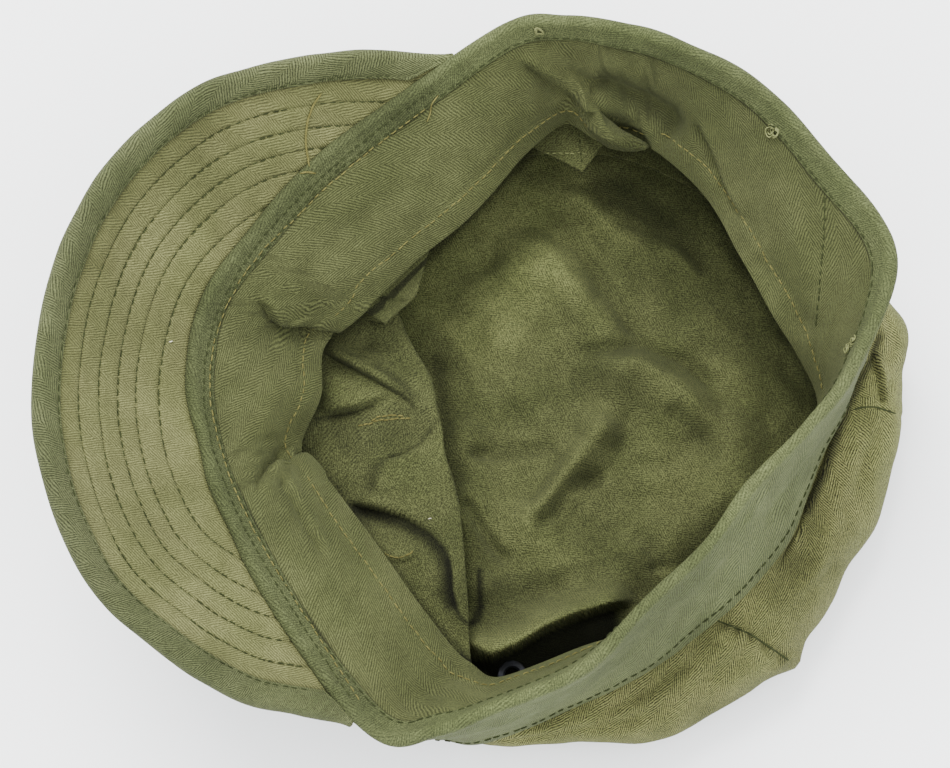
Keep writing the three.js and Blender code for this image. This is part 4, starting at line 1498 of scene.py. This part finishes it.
border_rows = []
for index, inset in enumerate((0.9, 1.9)):
    path, normals = peak_line(BORDER_WIDTH - inset, COVER_OFFSET + PEAK_CLOTH / 2 - 0.25, 8.0)
    border_rows.append(along_path(path, normals, STITCH_SPACING, STITCH, 120 + index))
piece = stitches("border_stitches", *(np.concatenate(x) for x in zip(*border_rows)), radius=0.2)
finish_with(piece, green_thread)


def wall_line(surface, half, row, side):
    """A path round a wall on one side of it"""
    closed = np.concatenate([surface, surface[:1]])
    normals = grid_normals(surface, True)
    normals = np.concatenate([normals, normals[:1]])
    return closed[:, row] + side * normals[:, row] * half, side * normals[:, row]


for name, column, seed, radius in (("rim_hem_stitches", HEM_STITCH_COLUMN, 140, 0.22),
                                   ("band_edge_stitches", EDGE_STITCH_COLUMN, 141, 0.32)):
    path, normals = wall_line(band_surface, BAND_CLOTH / 2, column, -1)
    piece = stitches(name, *along_path(path, normals, STITCH_SPACING, STITCH, seed), radius=radius)
    finish_with(piece, green_thread)

widths = np.linalg.norm(np.diff(sweat_surface, axis=1), axis=2)
from_free = np.cumsum(widths[:, ::-1], axis=1)[:, ::-1]
on_hem = (np.arange(STEPS_ROUND), np.abs(from_free - SWEATBAND_HEM).argmin(axis=1))
normals = grid_normals(sweat_surface, True)[on_hem]
path = smoothed(sweat_surface[on_hem] + normals * (SWEATBAND_CLOTH / 2), 6)
piece = stitches("sweatband_hem_stitches", *along_path(path, normals, 2.5, 2.0, 142), radius=0.19)
finish_with(piece, tan_thread)

inside = tree_of(outer_band, sweatband)
for name, line, material, seed in (("joint_seam_green", JOINT_SEAM_GREEN, green_thread, 150),
                                   ("joint_seam_tan", JOINT_SEAM_TAN, tan_thread, 151),
                                   ("right_seam", RIGHT_SEAM, green_thread, 152)):
    path, normals = seen_on(inside, line)
    piece = stitches(name, *along_path(smoothed(path, 3), normals, 2.6, 2.1, seed), radius=0.2)
    finish_with(piece, material)

tuck = tree_of(crown_side, crown_top)
for name, line, seed in (("chain_mark", CHAIN_MARK, 160), ("chain_back", CHAIN_BACK, 162),
                         ("tab_seam", TAB_SEAM, 161)):
    path, normals = seen_on(tuck, line)
    piece = stitches(name, *along_path(smoothed(path, 2), normals, 1.6, 1.7, seed), radius=0.26)
    finish_with(piece, tan_thread)

outside = tree_of(crown_side)
for name, line in (("lower_pleat_seam", PLEAT_SEAM), ("upper_crown_seam", UPPER_SEAM)):
    path, normals = seen_on(outside, line, 1.5)
    piece = thread(name, smoothed(path - normals * 0.08, 2), 0.3)
    finish_with(piece, green_thread)


def small_flap(name, corners, heights, creases):
    """Cloth that shows beneath the sweatband: corners as pixels, left, tip, right and back"""
    share = np.linspace(0, 1, 25)[:, None, None]
    across = np.linspace(0, 1, 25)[None, :, None]
    left, tip, right, back = (level_with(*pixel, height) for pixel, height in zip(corners, heights))
    grid = lerp(lerp(back, left, share), lerp(right, tip, share), across)
    relief = rumple(grid, 51, 18, 0.5) + crease_field(grid, creases)
    grid = grid + np.array([0, 0, 1.0]) * relief[..., None]
    half = edge_rounding(grid, CROWN_CLOTH / 2, True, True)
    # Painted shade and painted highlight of the flap's creases
    tone = np.clip(FLAP_CREASE_SHADING * crease_field(grid, creases), FLAP_DARKEST, LIGHTEST)
    return wall(name, grid, half, False, tone, 12, front_is_reverse=True)


# The end of the crown's seam, which shows beneath the sweatband's top fold
flap = small_flap("seam_flap", FLAP_CORNERS, (FLAP_HEIGHT,) * 4, [])
# A pleat of the sweatband's cloth, which shows beneath its left flap
pleat = small_flap("left_pleat", PLEAT_CORNERS, PLEAT_HEIGHTS, PLEAT_CREASES)
finish_with(pleat, cloths["sweatband_cloth"])
finish_with(flap, cloths["crown_cloth"])
on_flap = tree_of(flap)
for name, line, material, seed in (("flap_seam", TOP_SEAM, grey_thread, 170),
                                   ("flap_cross_seam", FLAP_CROSS, green_thread, 171)):
    path, normals = seen_on(on_flap, line)
    piece = stitches(name, *along_path(path, normals, 1.9, 1.3, seed), radius=0.2)
    finish_with(piece, material)

# Loose threads and knots
peak_tree = tree_of(peak_panel, peak_cover, outer_band)
for name, line, lift in (("loose_thread", LOOSE_THREAD, 0.35), ("loose_end", LOOSE_END, 0.3)):
    path, normals = seen_on(peak_tree, line, 2.0)
    piece = thread(name, smoothed(path + normals * lift, 2), 0.3)
    finish_with(piece, tan_thread)
path, normals = seen_on(inside, JOINT_THREAD, 2.0)
piece = thread("joint_thread", smoothed(path + normals * 0.3, 2), 0.22)
finish_with(piece, tan_thread)

KNOT_LOOPS = 5
draw = np.random.default_rng(7)
loops = []
for index, (u, v) in enumerate(KNOTS):
    path, normals = seen_on(inside, [(u, v), (u + 1, v + 1)])
    centre, normal = path[0], normals[0]
    across = unit(np.cross(normal, draw.normal(size=3)))
    other = np.cross(normal, across)
    for turn in range(KNOT_LOOPS):
        t = np.linspace(0, 2 * math.pi * 0.7, 14) + draw.uniform(0, 6)
        wide, tall = draw.uniform(0.5, 1.5, 2)
        curl = centre + draw.normal(size=3) * 0.45
        curl = curl + np.outer(np.cos(t) * wide, across) + np.outer(np.sin(t) * tall, other)
        curl = curl + np.outer(0.3 + 0.25 * np.sin(2 * t), normal)
        loops.append(thread(f"loop_{index}_{turn}", curl, 0.2, 6))
knots = join("thread_knots", loops)
finish_with(knots, grey_thread)

# Specks of lint
specks = []
on_cap = tree_of(peak_panel, crown_side)
for index, (u, v) in enumerate(SPECKS):
    path, normals = seen_on(on_cap, [(u - 2, v), (u + 2, v - 1)])
    specks.append(thread(f"speck_{index}", path + normals * 0.15, 0.26, 6))
lint = join("lint_specks", specks)
finish_with(lint, thread_material("lint", (175, 172, 150)))
